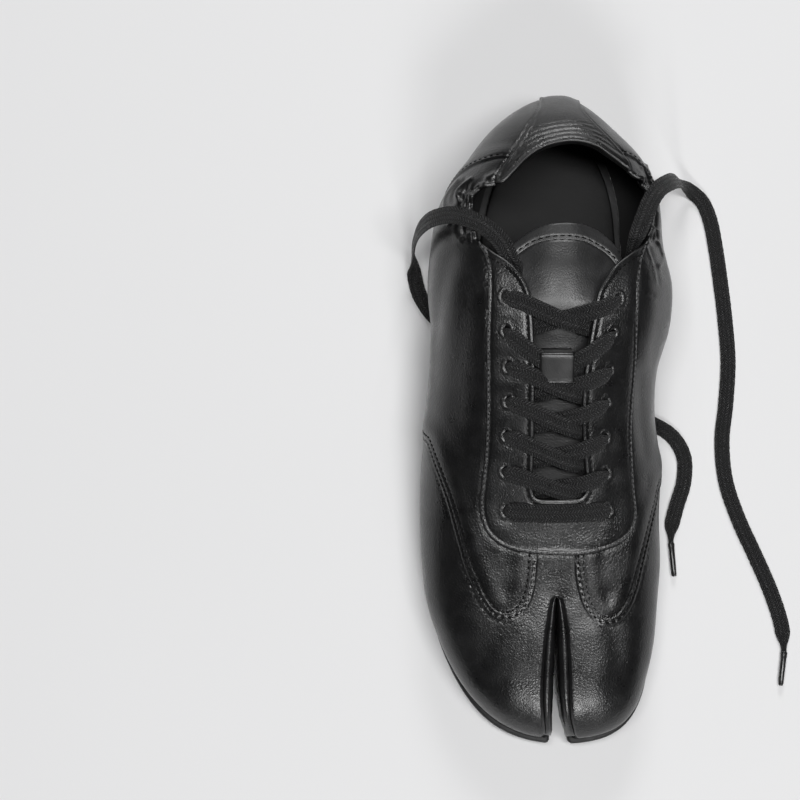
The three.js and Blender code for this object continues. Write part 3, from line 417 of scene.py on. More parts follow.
    def stand(self, flat: np.ndarray) -> tuple[np.ndarray, np.ndarray]:
        """Returns the points on the last and its outward directions there."""
        return self.place(flat), self.normals(flat)

    def flat(self, plan: np.ndarray) -> np.ndarray:
        """Returns the flat map's points that lie under plan points seen from above."""
        plan = np.asarray(plan, float)
        share = np.clip((plan[:, 1] - HEEL_Y) / UPPER_LENGTH, 0, 1)
        ridge, lateral, medial, _, _, full = self.section(share)
        side = np.where(plan[:, 0] >= ridge, 1, -1)
        half = np.where(side > 0, lateral, medial)
        xi = np.clip(np.abs(plan[:, 0] - ridge) / np.maximum(half, 1e-6), 0, 1)
        turn = np.arccos(np.clip(xi ** (full / 2), 0, 1))
        column = 1 - turn / (math.pi / 2)
        v = np.empty(len(plan))
        for s in (1, -1):
            pick = side == s
            arch, _ = self.spans(share, s)
            v[pick] = (s * arch * self._grid(self.share_by_turn[s], share, column))[pick]
        return np.stack([self.run_at(share), v], axis=1)

    def down_side(self, y: float, side: int, share_down: float) -> tuple[float, float]:
        """Returns the flat point below the widest line at y, that share of the way to the sole."""
        share = np.array([(y - HEEL_Y) / UPPER_LENGTH])
        arch, skirt = self.spans(share, side)
        return float(self.run_at(share)[0]), float(side * (arch[0] + skirt[0] * share_down))

    def down_end(self, part: slice, grows: int, side: int, x: float, downs: tuple) -> list:
        """Runs down the side at the heel or the toe, from where the widest line crosses x.

        Args:
            part: The stations of the end.
            grows: 1 where the form widens along them, -1 where it narrows.
            side: 1 for the lateral side, -1 for the medial one.
            x: The crossing, in plan.
            downs: Shares of the way from the widest line to the sole.

        Returns:
            The flat points.
        """
        ridge, lateral, medial = self.section(self.shares[part])[:3]
        edge = ridge + side * (lateral if side > 0 else medial)
        sign = grows * side
        u = float(np.interp(sign * x, sign * edge, self.crown_run[part]))
        arch, skirt = self.spans(self.share_at(np.array([u])), side)
        return [(u, side * float(arch[0] + skirt[0] * down)) for down in downs]


def blend(t: np.ndarray, low: float, high: float, a: np.ndarray, b: np.ndarray) -> np.ndarray:
    """Goes evenly from a at low to b at high."""
    return (high - t) / (high - low) * a + (t - low) / (high - low) * b


def smooth_line(points: np.ndarray, step: float, closed: bool = False) -> np.ndarray:
    """Runs a smooth line through points and cuts it into even steps.

    Args:
        points: The points, in two or three dimensions.
        step: The length of a step.
        closed: True where the line comes back to its start.

    Returns:
        The points of the even line.
    """
    p = np.asarray(points, float)
    if closed:
        p = np.vstack([p[-1], p, p[0], p[1]])
    else:
        p = np.vstack([2 * p[0] - p[1], p, 2 * p[-1] - p[-2]])
    knots = np.concatenate([[0], np.cumsum(np.sqrt(np.linalg.norm(np.diff(p, axis=0), axis=1)))])
    fine = []
    for i in range(1, len(p) - 2):
        t0, t1, t2, t3 = knots[i - 1 : i + 3]
        t = np.linspace(t1, t2, 16, endpoint=False)[:, None]
        a1 = blend(t, t0, t1, p[i - 1], p[i])
        a2 = blend(t, t1, t2, p[i], p[i + 1])
        a3 = blend(t, t2, t3, p[i + 1], p[i + 2])
        fine.append(blend(t, t1, t2, blend(t, t0, t2, a1, a2), blend(t, t1, t3, a2, a3)))
    fine.append(p[-2][None, :])
    line = np.vstack(fine)
    run = run_of(line)
    even = np.linspace(0, run[-1], max(2, int(round(run[-1] / step)) + 1))
    return read_line(line, run, even[:-1] if closed else even)


class Seam:
    """A seam or an edge, drawn on the last's flat map.

    Args:
        line: Its even points on the map.
        closed: True where it comes back to its start.
    """

    def __init__(self, line: np.ndarray, closed: bool = False) -> None:
        """Measures the seam."""
        self.line = np.asarray(line, float)
        self.closed = closed
        self.ring = np.vstack([self.line, self.line[0]]) if closed else self.line
        self.start, self.step = self.ring[:-1], np.diff(self.ring, axis=0)
        self.run = run_of(self.ring)
        self.length = float(self.run[-1])

    def nearest(self, flat: np.ndarray, reach: float) -> tuple[np.ndarray, np.ndarray]:
        """Measures points against the seam.

        Args:
            flat: Points on the map.
            reach: How far from the seam the measure is wanted.

        Returns:
            The signed distance, positive to the seam's right as it runs, and the run along it.
            Points beyond reach get a large distance.
        """
        far = np.full(len(flat), FAR)
        along = np.zeros(len(flat))
        low, high = self.line.min(axis=0) - reach, self.line.max(axis=0) + reach
        near = np.flatnonzero(np.all((flat > low) & (flat < high), axis=1))
        square = np.maximum((self.step**2).sum(axis=1), 1e-12)
        for part in np.array_split(near, max(1, len(near) // 8000)):
            gap = flat[part][:, None, :] - self.start[None, :, :]
            t = np.clip((gap * self.step).sum(axis=2) / square, 0, 1)
            away = gap - t[..., None] * self.step
            size = np.hypot(away[..., 0], away[..., 1])
            best = size.argmin(axis=1)
            rows = np.arange(len(part))
            turn = self.step[best, 0] * gap[rows, best, 1] - self.step[best, 1] * gap[rows, best, 0]
            sign = np.where(turn > 0, -1.0, 1.0)
            far[part] = size[rows, best] * sign
            along[part] = self.run[best] + t[rows, best] * (self.run[best + 1] - self.run[best])
        return far, along

    def holds(self, flat: np.ndarray) -> np.ndarray:
        """True for each point inside the closed seam."""
        inside = np.zeros(len(flat), bool)
        low, high = self.line.min(axis=0), self.line.max(axis=0)
        near = np.flatnonzero(np.all((flat > low) & (flat < high), axis=1))
        end = self.start + self.step
        for part in np.array_split(near, max(1, len(near) // 8000)):
            p = flat[part][:, None, :]
            cross = (self.start[:, 1] > p[..., 1]) != (end[:, 1] > p[..., 1])
            slope = np.where(np.abs(self.step[:, 1]) < 1e-12, 1e-12, self.step[:, 1])
            at = self.start[:, 0] + (p[..., 1] - self.start[:, 1]) * self.step[:, 0] / slope
            inside[part] = ((cross & (p[..., 0] < at)).sum(axis=1) % 2).astype(bool)
        return inside

    def beside(
        self, offset: float, step: float, start: float = 0, end: float = 0
    ) -> tuple[np.ndarray, np.ndarray]:
        """Returns even points beside the seam on the map, and the seam's directions there."""
        count = max(2, int((self.length - start - end) / step))
        even = np.linspace(start, self.length - end, count)
        at, ahead, back = (read_line(self.ring, self.run, even + d) for d in (0, 0.4, -0.4))
        way = unit(ahead - back)
        return at + offset * right_of(way), way


def world(points: np.ndarray) -> np.ndarray:
    """Returns points of the last in the scene's metres."""
    return (np.asarray(points, float) + ORIGIN) * MM


class Finish:
    """Makes one procedural material from a shader and a few texture nodes.

    Args:
        name: The material's name.
        colour: The base colour.
        roughness: The surface's roughness.
    """

    def __init__(self, name: str, colour: Colour, roughness: float) -> None:
        """Starts the material with its own shader."""
        self.colour = colour
        self.material = bpy.data.materials.new(name)
        self.material.use_nodes = True
        self.material.diffuse_color = (*colour, 1)
        self.tree = self.material.node_tree
        self.shader = self.tree.nodes["Principled BSDF"]
        self.set({"Base Color": (*colour, 1), "Roughness": roughness})
        self.height = None

    def set(self, values: dict) -> None:
        """Sets the shader's own values by name."""
        for key, value in values.items():
            self.shader.inputs[key].default_value = value

    def node(self, kind: str, **values: object) -> bpy.types.Node:
        """Adds a node and sets its inputs and properties by name."""
        made = self.tree.nodes.new(kind)
        for key, value in values.items():
            if key in made.inputs:
                made.inputs[key].default_value = value
            else:
                setattr(made, key, value)
        return made

    def link(self, source: Socket, target: Socket) -> None:
        """Joins two sockets."""
        self.tree.links.new(source, target)

    def place(self, scale: tuple[float, float, float] = (1, 1, 1), uv: bool = False) -> Socket:
        """Returns the surface's own coordinates, scaled."""
        spot = self.node("ShaderNodeTexCoord")
        grid = self.node("ShaderNodeMapping", Scale=scale)
        self.link(spot.outputs["UV" if uv else "Object"], grid.inputs["Vector"])
        return grid.outputs["Vector"]

    def math(self, kind: str, first: object, second: object = 0) -> Socket:
        """Joins two sockets or numbers by one sum."""
        made = self.node("ShaderNodeMath", operation=kind)
        for socket, value in zip(made.inputs, (first, second)):
            if isinstance(value, (int, float)):
                socket.default_value = value
            else:
                self.link(value, socket)
        return made.outputs[0]

    def noise(self, fineness: float, detail: float = 3, rough: float = 0.5) -> Socket:
        """Returns a cloud of the given fineness."""
        cloud = self.node("ShaderNodeTexNoise", Scale=fineness, Detail=detail, Roughness=rough)
        self.link(self.place(), cloud.inputs["Vector"])
        return cloud.outputs["Fac"]

    def cells(self, fineness: float, scale: tuple[float, float, float]) -> Socket:
        """Returns the distance to the edges of cells of the given fineness."""
        cells = self.node("ShaderNodeTexVoronoi", Scale=fineness, feature="DISTANCE_TO_EDGE")
        self.link(self.place(scale), cells.inputs["Vector"])
        return cells.outputs["Distance"]

    def tint(self, source: Socket, low: float, high: float, dark: float, light: float) -> None:
        """Colours the surface with a field.

        Args:
            source: The field.
            low: Its value where the surface is darkest.
            high: Its value where the surface is lightest.
            dark: The darkest colour, as a share of the finish's own.
            light: The lightest colour, as a share of the finish's own.
        """
        ramp = self.node("ShaderNodeValToRGB")
        for stop, at, share in zip(ramp.color_ramp.elements, (low, high), (dark, light)):
            stop.position, stop.color = at, (*(share * c for c in self.colour), 1)
        self.link(source, ramp.inputs["Fac"])
        self.link(ramp.outputs["Color"], self.shader.inputs["Base Color"])

    def rough(self, source: Socket, low: float, high: float, a: float, b: float) -> None:
        """Lets a field vary the roughness, from a where it is low to b where it is high."""
        made = self.node("ShaderNodeMapRange")
        for socket, value in zip(made.inputs[1:5], (low, high, a, b)):
            socket.default_value = value
        self.link(source, made.inputs[0])
        self.link(made.outputs[0], self.shader.inputs["Roughness"])

    def bump(self, source: Socket, strength: float, depth_mm: float) -> None:
        """Adds relief that is depth_mm deep."""
        made = self.node("ShaderNodeBump", Strength=strength, Distance=depth_mm * MM)
        self.link(source, made.inputs["Height"])
        if self.height is not None:
            self.link(self.height, made.inputs["Normal"])
        self.height = made.outputs["Normal"]
        self.link(self.height, self.shader.inputs["Normal"])


@dataclass(frozen=True)
class Leather:
    """Smooth black leather with a fine grain and a soft polish."""

    name: str
    colour: Colour = (0.0034, 0.0034, 0.0036)
    roughness: float = 0.31
    grain_per_m: float = 940.0
    grain_depth: float = 0.15
    coat: float = 0.06

    def make(self) -> Material:
        """Returns the leather's material."""
        made = Finish(self.name, self.colour, self.roughness)
        made.tint(made.noise(38, 4), 0.35, 0.7, 1, 1.7)
        made.rough(made.noise(120, 4), 0.3, 0.7, self.roughness - 0.05, self.roughness + 0.07)
        made.set({"Coat Weight": self.coat, "Coat Roughness": 0.24, "Specular IOR Level": 0.78})
        made.bump(made.noise(70, 3), 0.6, 0.45)
        made.bump(made.noise(self.grain_per_m * 1.1, 3, 0.6), 0.8, 0.9 * self.grain_depth)
        made.bump(made.cells(self.grain_per_m, (1, 0.8, 1)), 0.9, self.grain_depth)
        return made.material


@dataclass(frozen=True)
class Rubber:
    """Matt black rubber of the sole."""

    name: str
    colour: Colour = (0.007, 0.007, 0.0075)
    roughness: float = 0.6

    def make(self) -> Material:
        """Returns the rubber's material."""
        made = Finish(self.name, self.colour, self.roughness)
        made.tint(made.noise(60, 3), 0.3, 0.7, 1, 1.5)
        made.rough(made.noise(300, 3), 0.3, 0.7, self.roughness - 0.08, self.roughness + 0.06)
        made.bump(made.noise(2600, 2), 0.4, 0.05)
        return made.material


@dataclass(frozen=True)
class Cloth:
    """Fine woven cloth or suede of the lining and insole."""

    name: str
    colour: Colour = (0.0028, 0.0028, 0.003)
    roughness: float = 0.75
    weave_per_m: float = 1900.0

    def make(self) -> Material:
        """Returns the cloth's material."""
        made = Finish(self.name, self.colour, self.roughness)
        made.tint(made.noise(45, 3), 0.3, 0.7, 1, 1.6)
        made.set({"Sheen Weight": 0.03, "Sheen Roughness": 0.5, "Specular IOR Level": 0.3})
        made.bump(made.noise(self.weave_per_m, 3), 0.5, 0.07)
        made.bump(made.noise(110, 2), 0.4, 0.3)
        return made.material


@dataclass(frozen=True)
class Braid:
    """Flat braided lace: rows of slanting yarns that meet along the middle."""

    name: str
    colour: Colour = (0.0024, 0.0024, 0.0026)
    roughness: float = 0.44
    yarn: float = 1.25
    lanes: float = 4.0

    def make(self) -> Material:
        """Returns the braid's material, which follows the lace's own coordinates."""
        made = Finish(self.name, self.colour, self.roughness)
        spot = made.node("ShaderNodeSeparateXYZ")
        made.link(made.place(uv=True), spot.inputs["Vector"])
        lane = made.math("MULTIPLY", spot.outputs["Y"], self.lanes)
        fold = made.math("PINGPONG", lane, 1.0)
        slant = made.math("ADD", made.math("MULTIPLY", spot.outputs["X"], 1 / self.yarn), fold)
        ridge, groove = (
            made.math("ABSOLUTE", made.math("SINE", made.math("MULTIPLY", turn, math.pi)))
            for turn in (slant, lane)
        )
        ridge, groove = made.math("POWER", ridge, 0.6), made.math("POWER", groove, 0.35)
        woven = made.math("MULTIPLY", ridge, groove)
        height = made.math("ADD", woven, made.math("MULTIPLY", made.noise(5200, 2), 0.35))
        # painted shade and painted highlight: the colour darkens into the weave's grooves and
        # lightens on the yarns' ridges, following the relief, with a random fleck on top
        made.tint(height, 0.2, 1.25, 0.45, 2.6)
        waxed = made.math("MULTIPLY", woven, made.noise(760, 3))
        made.rough(waxed, 0.3, 0.58, self.roughness + 0.26, self.roughness - 0.24)
        made.set({"Sheen Weight": 0.03, "Sheen Roughness": 0.4, "Specular IOR Level": 0.5})
        made.bump(height, 1.0, 0.55)
        return made.material


@dataclass(frozen=True)
class Thread:
    """Waxed thread of the stitching."""

    name: str
    colour: Colour = (0.055, 0.055, 0.056)
    roughness: float = 0.4
    gloss: float = 0.5

    def make(self) -> Material:
        """Returns the thread's material."""
        made = Finish(self.name, self.colour, self.roughness)
        made.tint(made.noise(900, 2), 0.3, 0.7, 0.6, 1.9)
        made.set({"Specular IOR Level": self.gloss})
        made.bump(made.noise(6000, 2), 0.5, 0.06)
        return made.material


@dataclass(frozen=True)
class Film:
    """Glossy film of the lace tips."""

    name: str
    colour: Colour = (0.01, 0.01, 0.01)
    roughness: float = 0.16

    def make(self) -> Material:
        """Returns the film's material."""
        made = Finish(self.name, self.colour, self.roughness)
        made.tint(made.noise(300, 2), 0.3, 0.7, 1, 2)
        made.rough(made.noise(500, 3), 0.3, 0.7, self.roughness, self.roughness + 0.12)
        made.bump(made.noise(700, 2), 0.3, 0.05)
        return made.material


@dataclass(frozen=True)
class Paper:
    """Plain pale backdrop."""

    name: str
    colour: Colour = (0.78, 0.78, 0.785)
    roughness: float = 0.85

    def make(self) -> Material:
        """Returns the backdrop's material."""
        made = Finish(self.name, self.colour, self.roughness)
        made.tint(made.noise(3, 2), 0.2, 0.8, 1, 1.02)
        return made.material


class Slot(Enum):
    """The record's material slots."""

    UPPER = "upper_leather"
    LINING = "lining"
    SOLE = "sole_rubber"
    COTTON = "lace_cotton"
    FILM = "aglet_film"


def worn(finish: object) -> Material:
    """Declares a finish of the wardrobe, which is made when the wardrobe is."""
    return field(default_factory=finish.make)


@dataclass
class Wardrobe:
    """Every finish of the shoe, made once."""

    upper: Material = worn(Leather("upper_leather_finish"))
    edge: Material = worn(
        Leather("edge_leather_finish", roughness=0.36, grain_per_m=1400, grain_depth=0.05)
    )
    tongue: Material = worn(
        Leather("tongue_leather_finish", (0.011, 0.011, 0.0114), 0.42, 1000, 0.1, coat=0.16)
    )
    lining: Material = worn(Cloth("lining_finish"))
    insole: Material = worn(Cloth("insole_finish", roughness=0.6, weave_per_m=1500))
    rubber: Material = worn(Rubber("sole_rubber_finish"))
    lace: Material = worn(Braid("lace_braid_finish"))
    thread: Material = worn(Thread("light_thread_finish"))
    dark_thread: Material = worn(
        Thread("dark_thread_finish", (0.003, 0.003, 0.003), 0.6, gloss=0.12)
    )
    film: Material = worn(Film("lace_tip_finish"))


def piece(
    name: str, points: np.ndarray, faces: list, finish: Material, slot: Slot,
    nodes: tuple[str, ...] = (),
) -> bpy.types.Object:
    """Makes one piece of the shoe and lets it ride on the body.

    Args:
        name: The piece's name.
        points: Its points on the last, in millimetres.
        faces: Its faces.
        finish: Its material.
        slot: The record's slot for its finish; not used.
        nodes: The CAD nodes that it stands for.

    Returns:
        The new object.
    """
    mesh = bpy.data.meshes.new(name)
    mesh.from_pydata(world(points).tolist(), [], [tuple(int(i) for i in f) for f in faces])
    mesh.validate()
    mesh.shade_smooth()
    mesh.materials.append(finish)
    made = bpy.data.objects.new(name, mesh)
    bpy.context.scene.collection.objects.link(made)
    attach(made, "root")
    if nodes:
        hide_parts(*nodes)
    LOG.info("%s: %d faces", name, len(mesh.polygons))
    return made


def joined(parts: list[tuple[np.ndarray, list]]) -> tuple[np.ndarray, list]:
    """Joins several sets of points and faces into one."""
    points, faces, base = [], [], 0
    for part_points, part_faces in parts:
        points.append(part_points)
        faces.extend([tuple(base + i for i in face) for face in part_faces])
        base += len(part_points)
    return np.vstack(points), faces


def quads(rows: int, columns: int, round_rows: bool = False, round_columns: bool = False) -> list:
    """Returns the faces of a grid of points, closed on itself where asked."""
    faces = []
    for i in range(rows if round_rows else rows - 1):
        for j in range(columns if round_columns else columns - 1):
            i2, j2 = (i + 1) % rows, (j + 1) % columns
            faces.append((i * columns + j, i2 * columns + j, i2 * columns + j2, i * columns + j2))
    return faces


def tube(rows: int, columns: int) -> list:
    """Returns the faces of rings of points, capped at both ends."""
    caps = [tuple(range(columns - 1, -1, -1)), tuple(range((rows - 1) * columns, rows * columns))]
    return quads(rows, columns, round_columns=True) + caps


def triangulate(
    rings: list[tuple[np.ndarray, bool]], loose: np.ndarray, merge: float = 0.02
) -> tuple[np.ndarray, np.ndarray]:
    """Meshes flat points with the given lines kept as edges.

    Args:
        rings: Lines of points, and whether each is closed.
        loose: Further points.
        merge: How close two points are taken as one.

    Returns:
        The flat points and the triangles, over the whole hull.
    """
    points, edges, base = [], [], 0
    for line, closed in rings:
        points.extend(line.tolist())
        count = len(line)
        edges.extend((base + i, base + i + 1) for i in range(count - 1))
        if closed:
            edges.append((base + count - 1, base))
        base += count
    points.extend(loose.tolist())
    made = delaunay_2d_cdt([Vector(p) for p in points], edges, [], 0, merge)
    flat = np.array([tuple(p) for p in made[0]])
    return flat, np.array([tuple(f) for f in made[2] if len(f) == 3], dtype=int)


def lattice(low: np.ndarray, high: np.ndarray, step: float) -> np.ndarray:
    """Returns a field of points in rows that are shifted by half a step."""
    ys = np.arange(low[1], high[1], step * 0.866)
    xs = np.arange(low[0], high[0], step)
    return np.vstack([
        np.stack([xs + (i % 2) * step / 2, np.full(len(xs), y)], axis=1) for i, y in enumerate(ys)
    ])


def stitch_row(
    at: np.ndarray, way: np.ndarray, up: np.ndarray, length: float, thick: float
) -> tuple[np.ndarray, list]:
    """Makes a row of stitches, each a small bead of thread that dips at both ends.

    Args:
        at: The stitches' middles.
        way: Their directions.
        up: The surface's directions there.
        length: The length of a stitch.
        thick: The thread's thickness.

    Returns:
        The points and faces of the whole row.
    """
    way, up = unit(way), unit(up)
    side = unit(np.cross(way, up))
    stations = np.array([-0.5, -0.36, -0.14, 0.14, 0.36, 0.5])
    girth = np.array([0.25, 0.8, 1.0, 1.0, 0.8, 0.25])
    sink = np.array([-0.55, -0.12, 0.0, 0.0, -0.12, -0.55])
    turns = np.arange(6) * math.pi / 3
    ring = []
    for s, g, d in zip(stations, girth, sink):
        for a in turns:
            ring.append(
                at + way * s * length + side * (math.cos(a) * g * thick / 2)
                + up * (math.sin(a) * g * thick / 2 + d * thick)
            )
    points = np.stack(ring, axis=1)
    shell = tube(6, 6)
    faces = [tuple(36 * k + i for i in f) for k in range(len(at)) for f in shell]
    return points.reshape(-1, 3), faces


@dataclass
class Studio:
    """The floor, the soft lights and the camera above the shoe."""

    distance: float = 1000.0
    tilt: float = 7.5
    target: tuple[float, float] = (64.0, -9.9)
    focal_px: float = 2235.0
    sensor: float = 36.0
    floor: float = 3.0
    floor_cells: int = 40
    floor_drop: float = 0.0004
    # each light's name, place, aim, sides in metres and power in watts
    lights: tuple = (
        ("light_above", (-0.13, 0.06, 2.0), (-0.01, 0.02, 0.0), (0.4, 1.7), 29.0),
        ("light_toe", (-0.18, 1.6, 1.15), (-0.01, 0.1, 0.02), (0.5, 0.4), 13.0),
        ("light_heel", (-0.08, -1.4, 0.8), (-0.01, -0.1, 0.04), (0.5, 0.4), 8.0),
    )

    def set_camera(self) -> None:
        """Puts the camera at the photograph's angle."""
        t = math.radians(self.tilt)
        back = Vector((0, math.sin(t), math.cos(t)))
        aim = Vector(world(np.array([*self.target, 0.0])).tolist())
        lens = bpy.data.cameras.new("camera")
        lens.sensor_width, lens.lens = self.sensor, self.focal_px / PHOTO_PX * self.sensor
        lens.clip_start, lens.clip_end = 0.05, 50
        seat = bpy.data.objects.new("camera", lens)
        turn = Matrix(((-1, 0, back.x), (0, -math.cos(t), back.y), (0, math.sin(t), back.z)))
        seat.matrix_world = Matrix.Translation(aim + back * self.distance * MM) @ turn.to_4x4()
        bpy.context.scene.collection.objects.link(seat)
        bpy.context.scene.camera = seat

    def lay_floor(self) -> None:
        """Lays a wide pale floor just below the sole."""
        run = np.linspace(-1, 1, self.floor_cells + 1) * self.floor
        x, y = np.meshgrid(run, run, indexing="ij")
        points = np.stack([x, y, np.full_like(x, -self.floor_drop)], axis=-1).reshape(-1, 3)
        mesh = bpy.data.meshes.new("floor")
        mesh.from_pydata(points.tolist(), [], quads(len(run), len(run)))
        mesh.shade_smooth()
        mesh.materials.append(Paper("floor_paper").make())
        made = bpy.data.objects.new("floor", mesh)
        bpy.context.scene.collection.objects.link(made)

    def set_lights(self) -> None:
        """Hangs the lights and sets the air's own glow."""
        sky = bpy.data.worlds.new("studio_air")
        bpy.context.scene.world = sky
        sky.use_nodes = True
        glow = sky.node_tree.nodes["Background"]
        glow.inputs["Color"].default_value = (0.95, 0.97, 1.0, 1)
        glow.inputs["Strength"].default_value = 0.025
        for name, at, aim, size, power in self.lights:
            lamp = bpy.data.lights.new(name, "AREA")
            lamp.shape, lamp.size, lamp.size_y, lamp.energy = "RECTANGLE", *size, power
            made = bpy.data.objects.new(name, lamp)
            made.location = at
            made.rotation_euler = (Vector(at) - Vector(aim)).to_track_quat("Z", "Y").to_euler()
            bpy.context.scene.collection.objects.link(made)
        bpy.context.scene.view_settings.view_transform = "Standard"


def ribbon(
    path: np.ndarray, side: np.ndarray, width: np.ndarray, thick: np.ndarray, turns: int = 18
) -> tuple[np.ndarray, list, np.ndarray]:
    """Sweeps a flat lace along a path.

    Args:
        path: The lace's middle line.
        side: The direction of its width at each point.
        width: Its width at each point.
        thick: Its thickness at each point.
        turns: How many points go round it.

    Returns:
        The points, the faces and each point's place along and across the lace.
    """
    way = unit(np.gradient(path, axis=0))
    side = unit(side - (side * way).sum(axis=1, keepdims=True) * way)
    up = unit(np.cross(way, side))
    angle = np.arange(turns) * 2 * math.pi / turns
    across = np.sign(np.cos(angle)) * np.abs(np.cos(angle)) ** 0.62
    rise = np.sign(np.sin(angle)) * np.abs(np.sin(angle)) ** 0.7
    rise = rise * (1 - 0.16 * bell(across, 0.12)) * (1 - 0.22 * np.abs(across) ** 3)
    run = run_of(path)
    scallop = 1 + 0.018 * np.sin(run * 2 * math.pi / 1.8)
    points = (
        path[:, None, :]
        + side[:, None, :] * (across[None, :, None] * (width * scallop)[:, None, None] / 2)
        + up[:, None, :] * (rise[None, :, None] * thick[:, None, None] / 2)
    )
    place = np.stack([np.repeat(run, turns), np.tile((across + 1) / 2, len(path))], axis=1)
    return points.reshape(-1, 3), tube(len(path), turns), place


def map_lace(made: bpy.types.Object, place: np.ndarray) -> None:
    """Stores each point's place along and across the lace for the braid."""
    layer = made.data.uv_layers.new(name="braid")
    index = np.empty(len(made.data.loops), dtype=np.int32)
    made.data.loops.foreach_get("vertex_index", index)
    layer.data.foreach_set("uv", place[index].astype(np.float32).ravel())


@dataclass
class LaceEnds:
    """The lace's two free ends, from the top eyelets over the collar to the floor.

    A row of the tables is a point of the lace's middle line, and the direction of its flat side.
    """

    width: float = 7.5
    thickness: float = 1.3
    tip_length: float = 15.0
    tip_diameter: float = 2.6
    step: float = 1.2
    # each ring of a tip: its place along the tip, and its width and height as shares of the tip's
    tip_rings: tuple = (
        (0, 0.8, 0.6), (0.01, 1.02, 0.72), (0.04, 1.12, 0.78), (0.12, 1.1, 0.8), (0.16, 1.02, 0.86),
        (0.2, 1.0, 0.95), (0.5, 0.97, 0.95), (0.8, 0.94, 0.93), (0.93, 0.9, 0.9),
        (0.98, 0.78, 0.78), (1.0, 0.45, 0.45),
    )
    lateral: tuple = (
        (13.9, -50.5, 66.4, 1, 0.2, -0.35), (14.6, -54.5, 66.9, 1, 0.25, -0.35),
        (15.4, -58.2, 68.3, 1, 0.35, -0.3), (18, -61.6, 69.6, 0.9, 0.5, -0.25),
        (21, -67.2, 69.6, 0.85, 0.6, -0.1), (24.8, -71.8, 68.4, 0.7, 0.75, 0),
        (29.4, -75.8, 66.5, 0.5, 0.9, 0), (35, -78.8, 64.2, 0.3, 1, 0),
        (42, -81.2, 60.8, 0.1, 1, 0), (49.8, -81.2, 53.4, 0, 1, 0), (54.9, -79.8, 41, 0, 1, 0),
        (57.4, -77.4, 26, 0, 1, 0.2), (58.2, -73.4, 12.4, 0, 0.9, 0.5),
        (57.6, -66.4, 3.6, 0.7, 0.5, 0.3), (55.4, -58, 1, 1, 0.2, 0),
        (50.6, -49.9, 0.8, 0.8, -0.5, 0), (43, -42, 0.8, 0.6, -0.7, 0),
        (28, -31, 0.8, 0.5, -0.8, 0), (8, -20.5, 0.8, 0.4, -0.9, 0), (-12, -12.5, 0.8, 0.3, -1, 0),
        (-32, -5.6, 0.8, 0.3, -1, 0), (-48, 0.6, 0.8, 0.4, -0.9, 0),
        (-57.4, 6.6, 0.8, 0.7, -0.7, 0), (-62.4, 15.6, 0.8, 1, -0.2, 0),
        (-62.2, 27, 0.8, 1, 0.2, 0), (-58.8, 38, 0.8, 1, 0.3, 0), (-56.4, 47.5, 0.8, 1, 0.2, 0),
        (-56.1, 54, 1, 1, 0, 0),
    )
    lateral_tip: tuple = (-57.2, 68.5, 1.35)
    medial: tuple = (
        (-32.6, -61, 55.8, -0.8, 0.2, -0.6), (-34.2, -66.5, 58.8, -0.8, 0.2, -0.5),
        (-36.4, -72, 61.8, -0.9, 0.3, -0.3), (-39, -78.4, 63.2, -0.9, 0.5, -0.1),
        (-42, -86, 62.2, -0.7, 0.7, 0), (-46.2, -92.6, 59.6, -0.5, 0.9, 0),
        (-52, -97.4, 52.6, -0.5, 0.9, 0), (-56.4, -100.8, 40, -0.5, 0.9, 0),
        (-59.6, -103.4, 25, -0.5, 0.9, 0), (-62.4, -105.2, 11, -0.3, 0.9, 0.1),
        (-67, -105, 2.6, 0.2, 1, 0.1), (-72.4, -100.6, 0.8, 0.8, 0.7, 0),
        (-76, -92, 0.8, 0.9, 0.4, 0), (-78.2, -80, 0.8, 1, 0.2, 0), (-80.2, -64, 0.8, 1, 0.1, 0),
        (-82, -46, 0.8, 1, 0.1, 0), (-83, -27, 0.8, 1, 0, 0), (-81.6, -8, 0.8, 1, -0.1, 0),
        (-79.6, 9, 0.8, 1, 0, 0), (-81, 27, 0.8, 1, 0.2, 0), (-86.4, 44, 0.8, 1, 0.4, 0),
        (-93.4, 60, 0.8, 0.9, 0.4, 0), (-100, 76, 0.8, 0.9, 0.3, 0), (-104.4, 91, 0.8, 1, 0.2, 0),
        (-105.2, 102, 1, 1, 0, 0),
    )
    medial_tip: tuple = (-103.2, 117, 1.35)

    def tip(
        self, name: str, start: np.ndarray, end: np.ndarray, wardrobe: Wardrobe
    ) -> bpy.types.Object:
        """Makes one glossy tip, crimped where it holds the lace."""
        way = unit(end - start)
        side = unit(np.cross(way, [0, 0, 1.0]))
        up = np.cross(side, way)
        share, wide, flat = np.array(self.tip_rings).T
        angle = np.arange(20) * math.pi / 10
        r = self.tip_diameter / 2
        points = (
            start + (way * self.tip_length * share[:, None])[:, None, :]
            + side * (np.cos(angle)[None, :] * wide[:, None] * r)[..., None]
            + up * (np.sin(angle)[None, :] * flat[:, None] * r)[..., None]
        )
        faces = tube(len(share), len(angle))
        return piece(name + "_tip", points.reshape(-1, 3), faces, wardrobe.film, Slot.FILM, (name,))

    def turned(self, path: np.ndarray, side: np.ndarray) -> np.ndarray:
        """Lets the lace's flat side follow the given directions, and lie flat on the floor."""
        way = unit(np.gradient(path, axis=0))
        level = np.column_stack([-way[:, 1], way[:, 0], 0 * way[:, 0]])
        down = ease(-path[:, 2], -9.0, -2.0)[:, None]
        made = unit(side - (side * way).sum(axis=1, keepdims=True) * way)
        for i in range(len(path)):
            if i and (made[i] * made[i - 1]).sum() < 0:
                made[i] *= -1
            sign = 1 if (level[i] * made[i if down[i] < 0.9 else i - 1]).sum() >= 0 else -1
            made[i] = made[i] * (1 - down[i]) + sign * level[i] * down[i]
        for _ in range(6):
            made[1:-1] = (made[:-2] + made[1:-1] + made[2:]) / 3
        return unit(made)

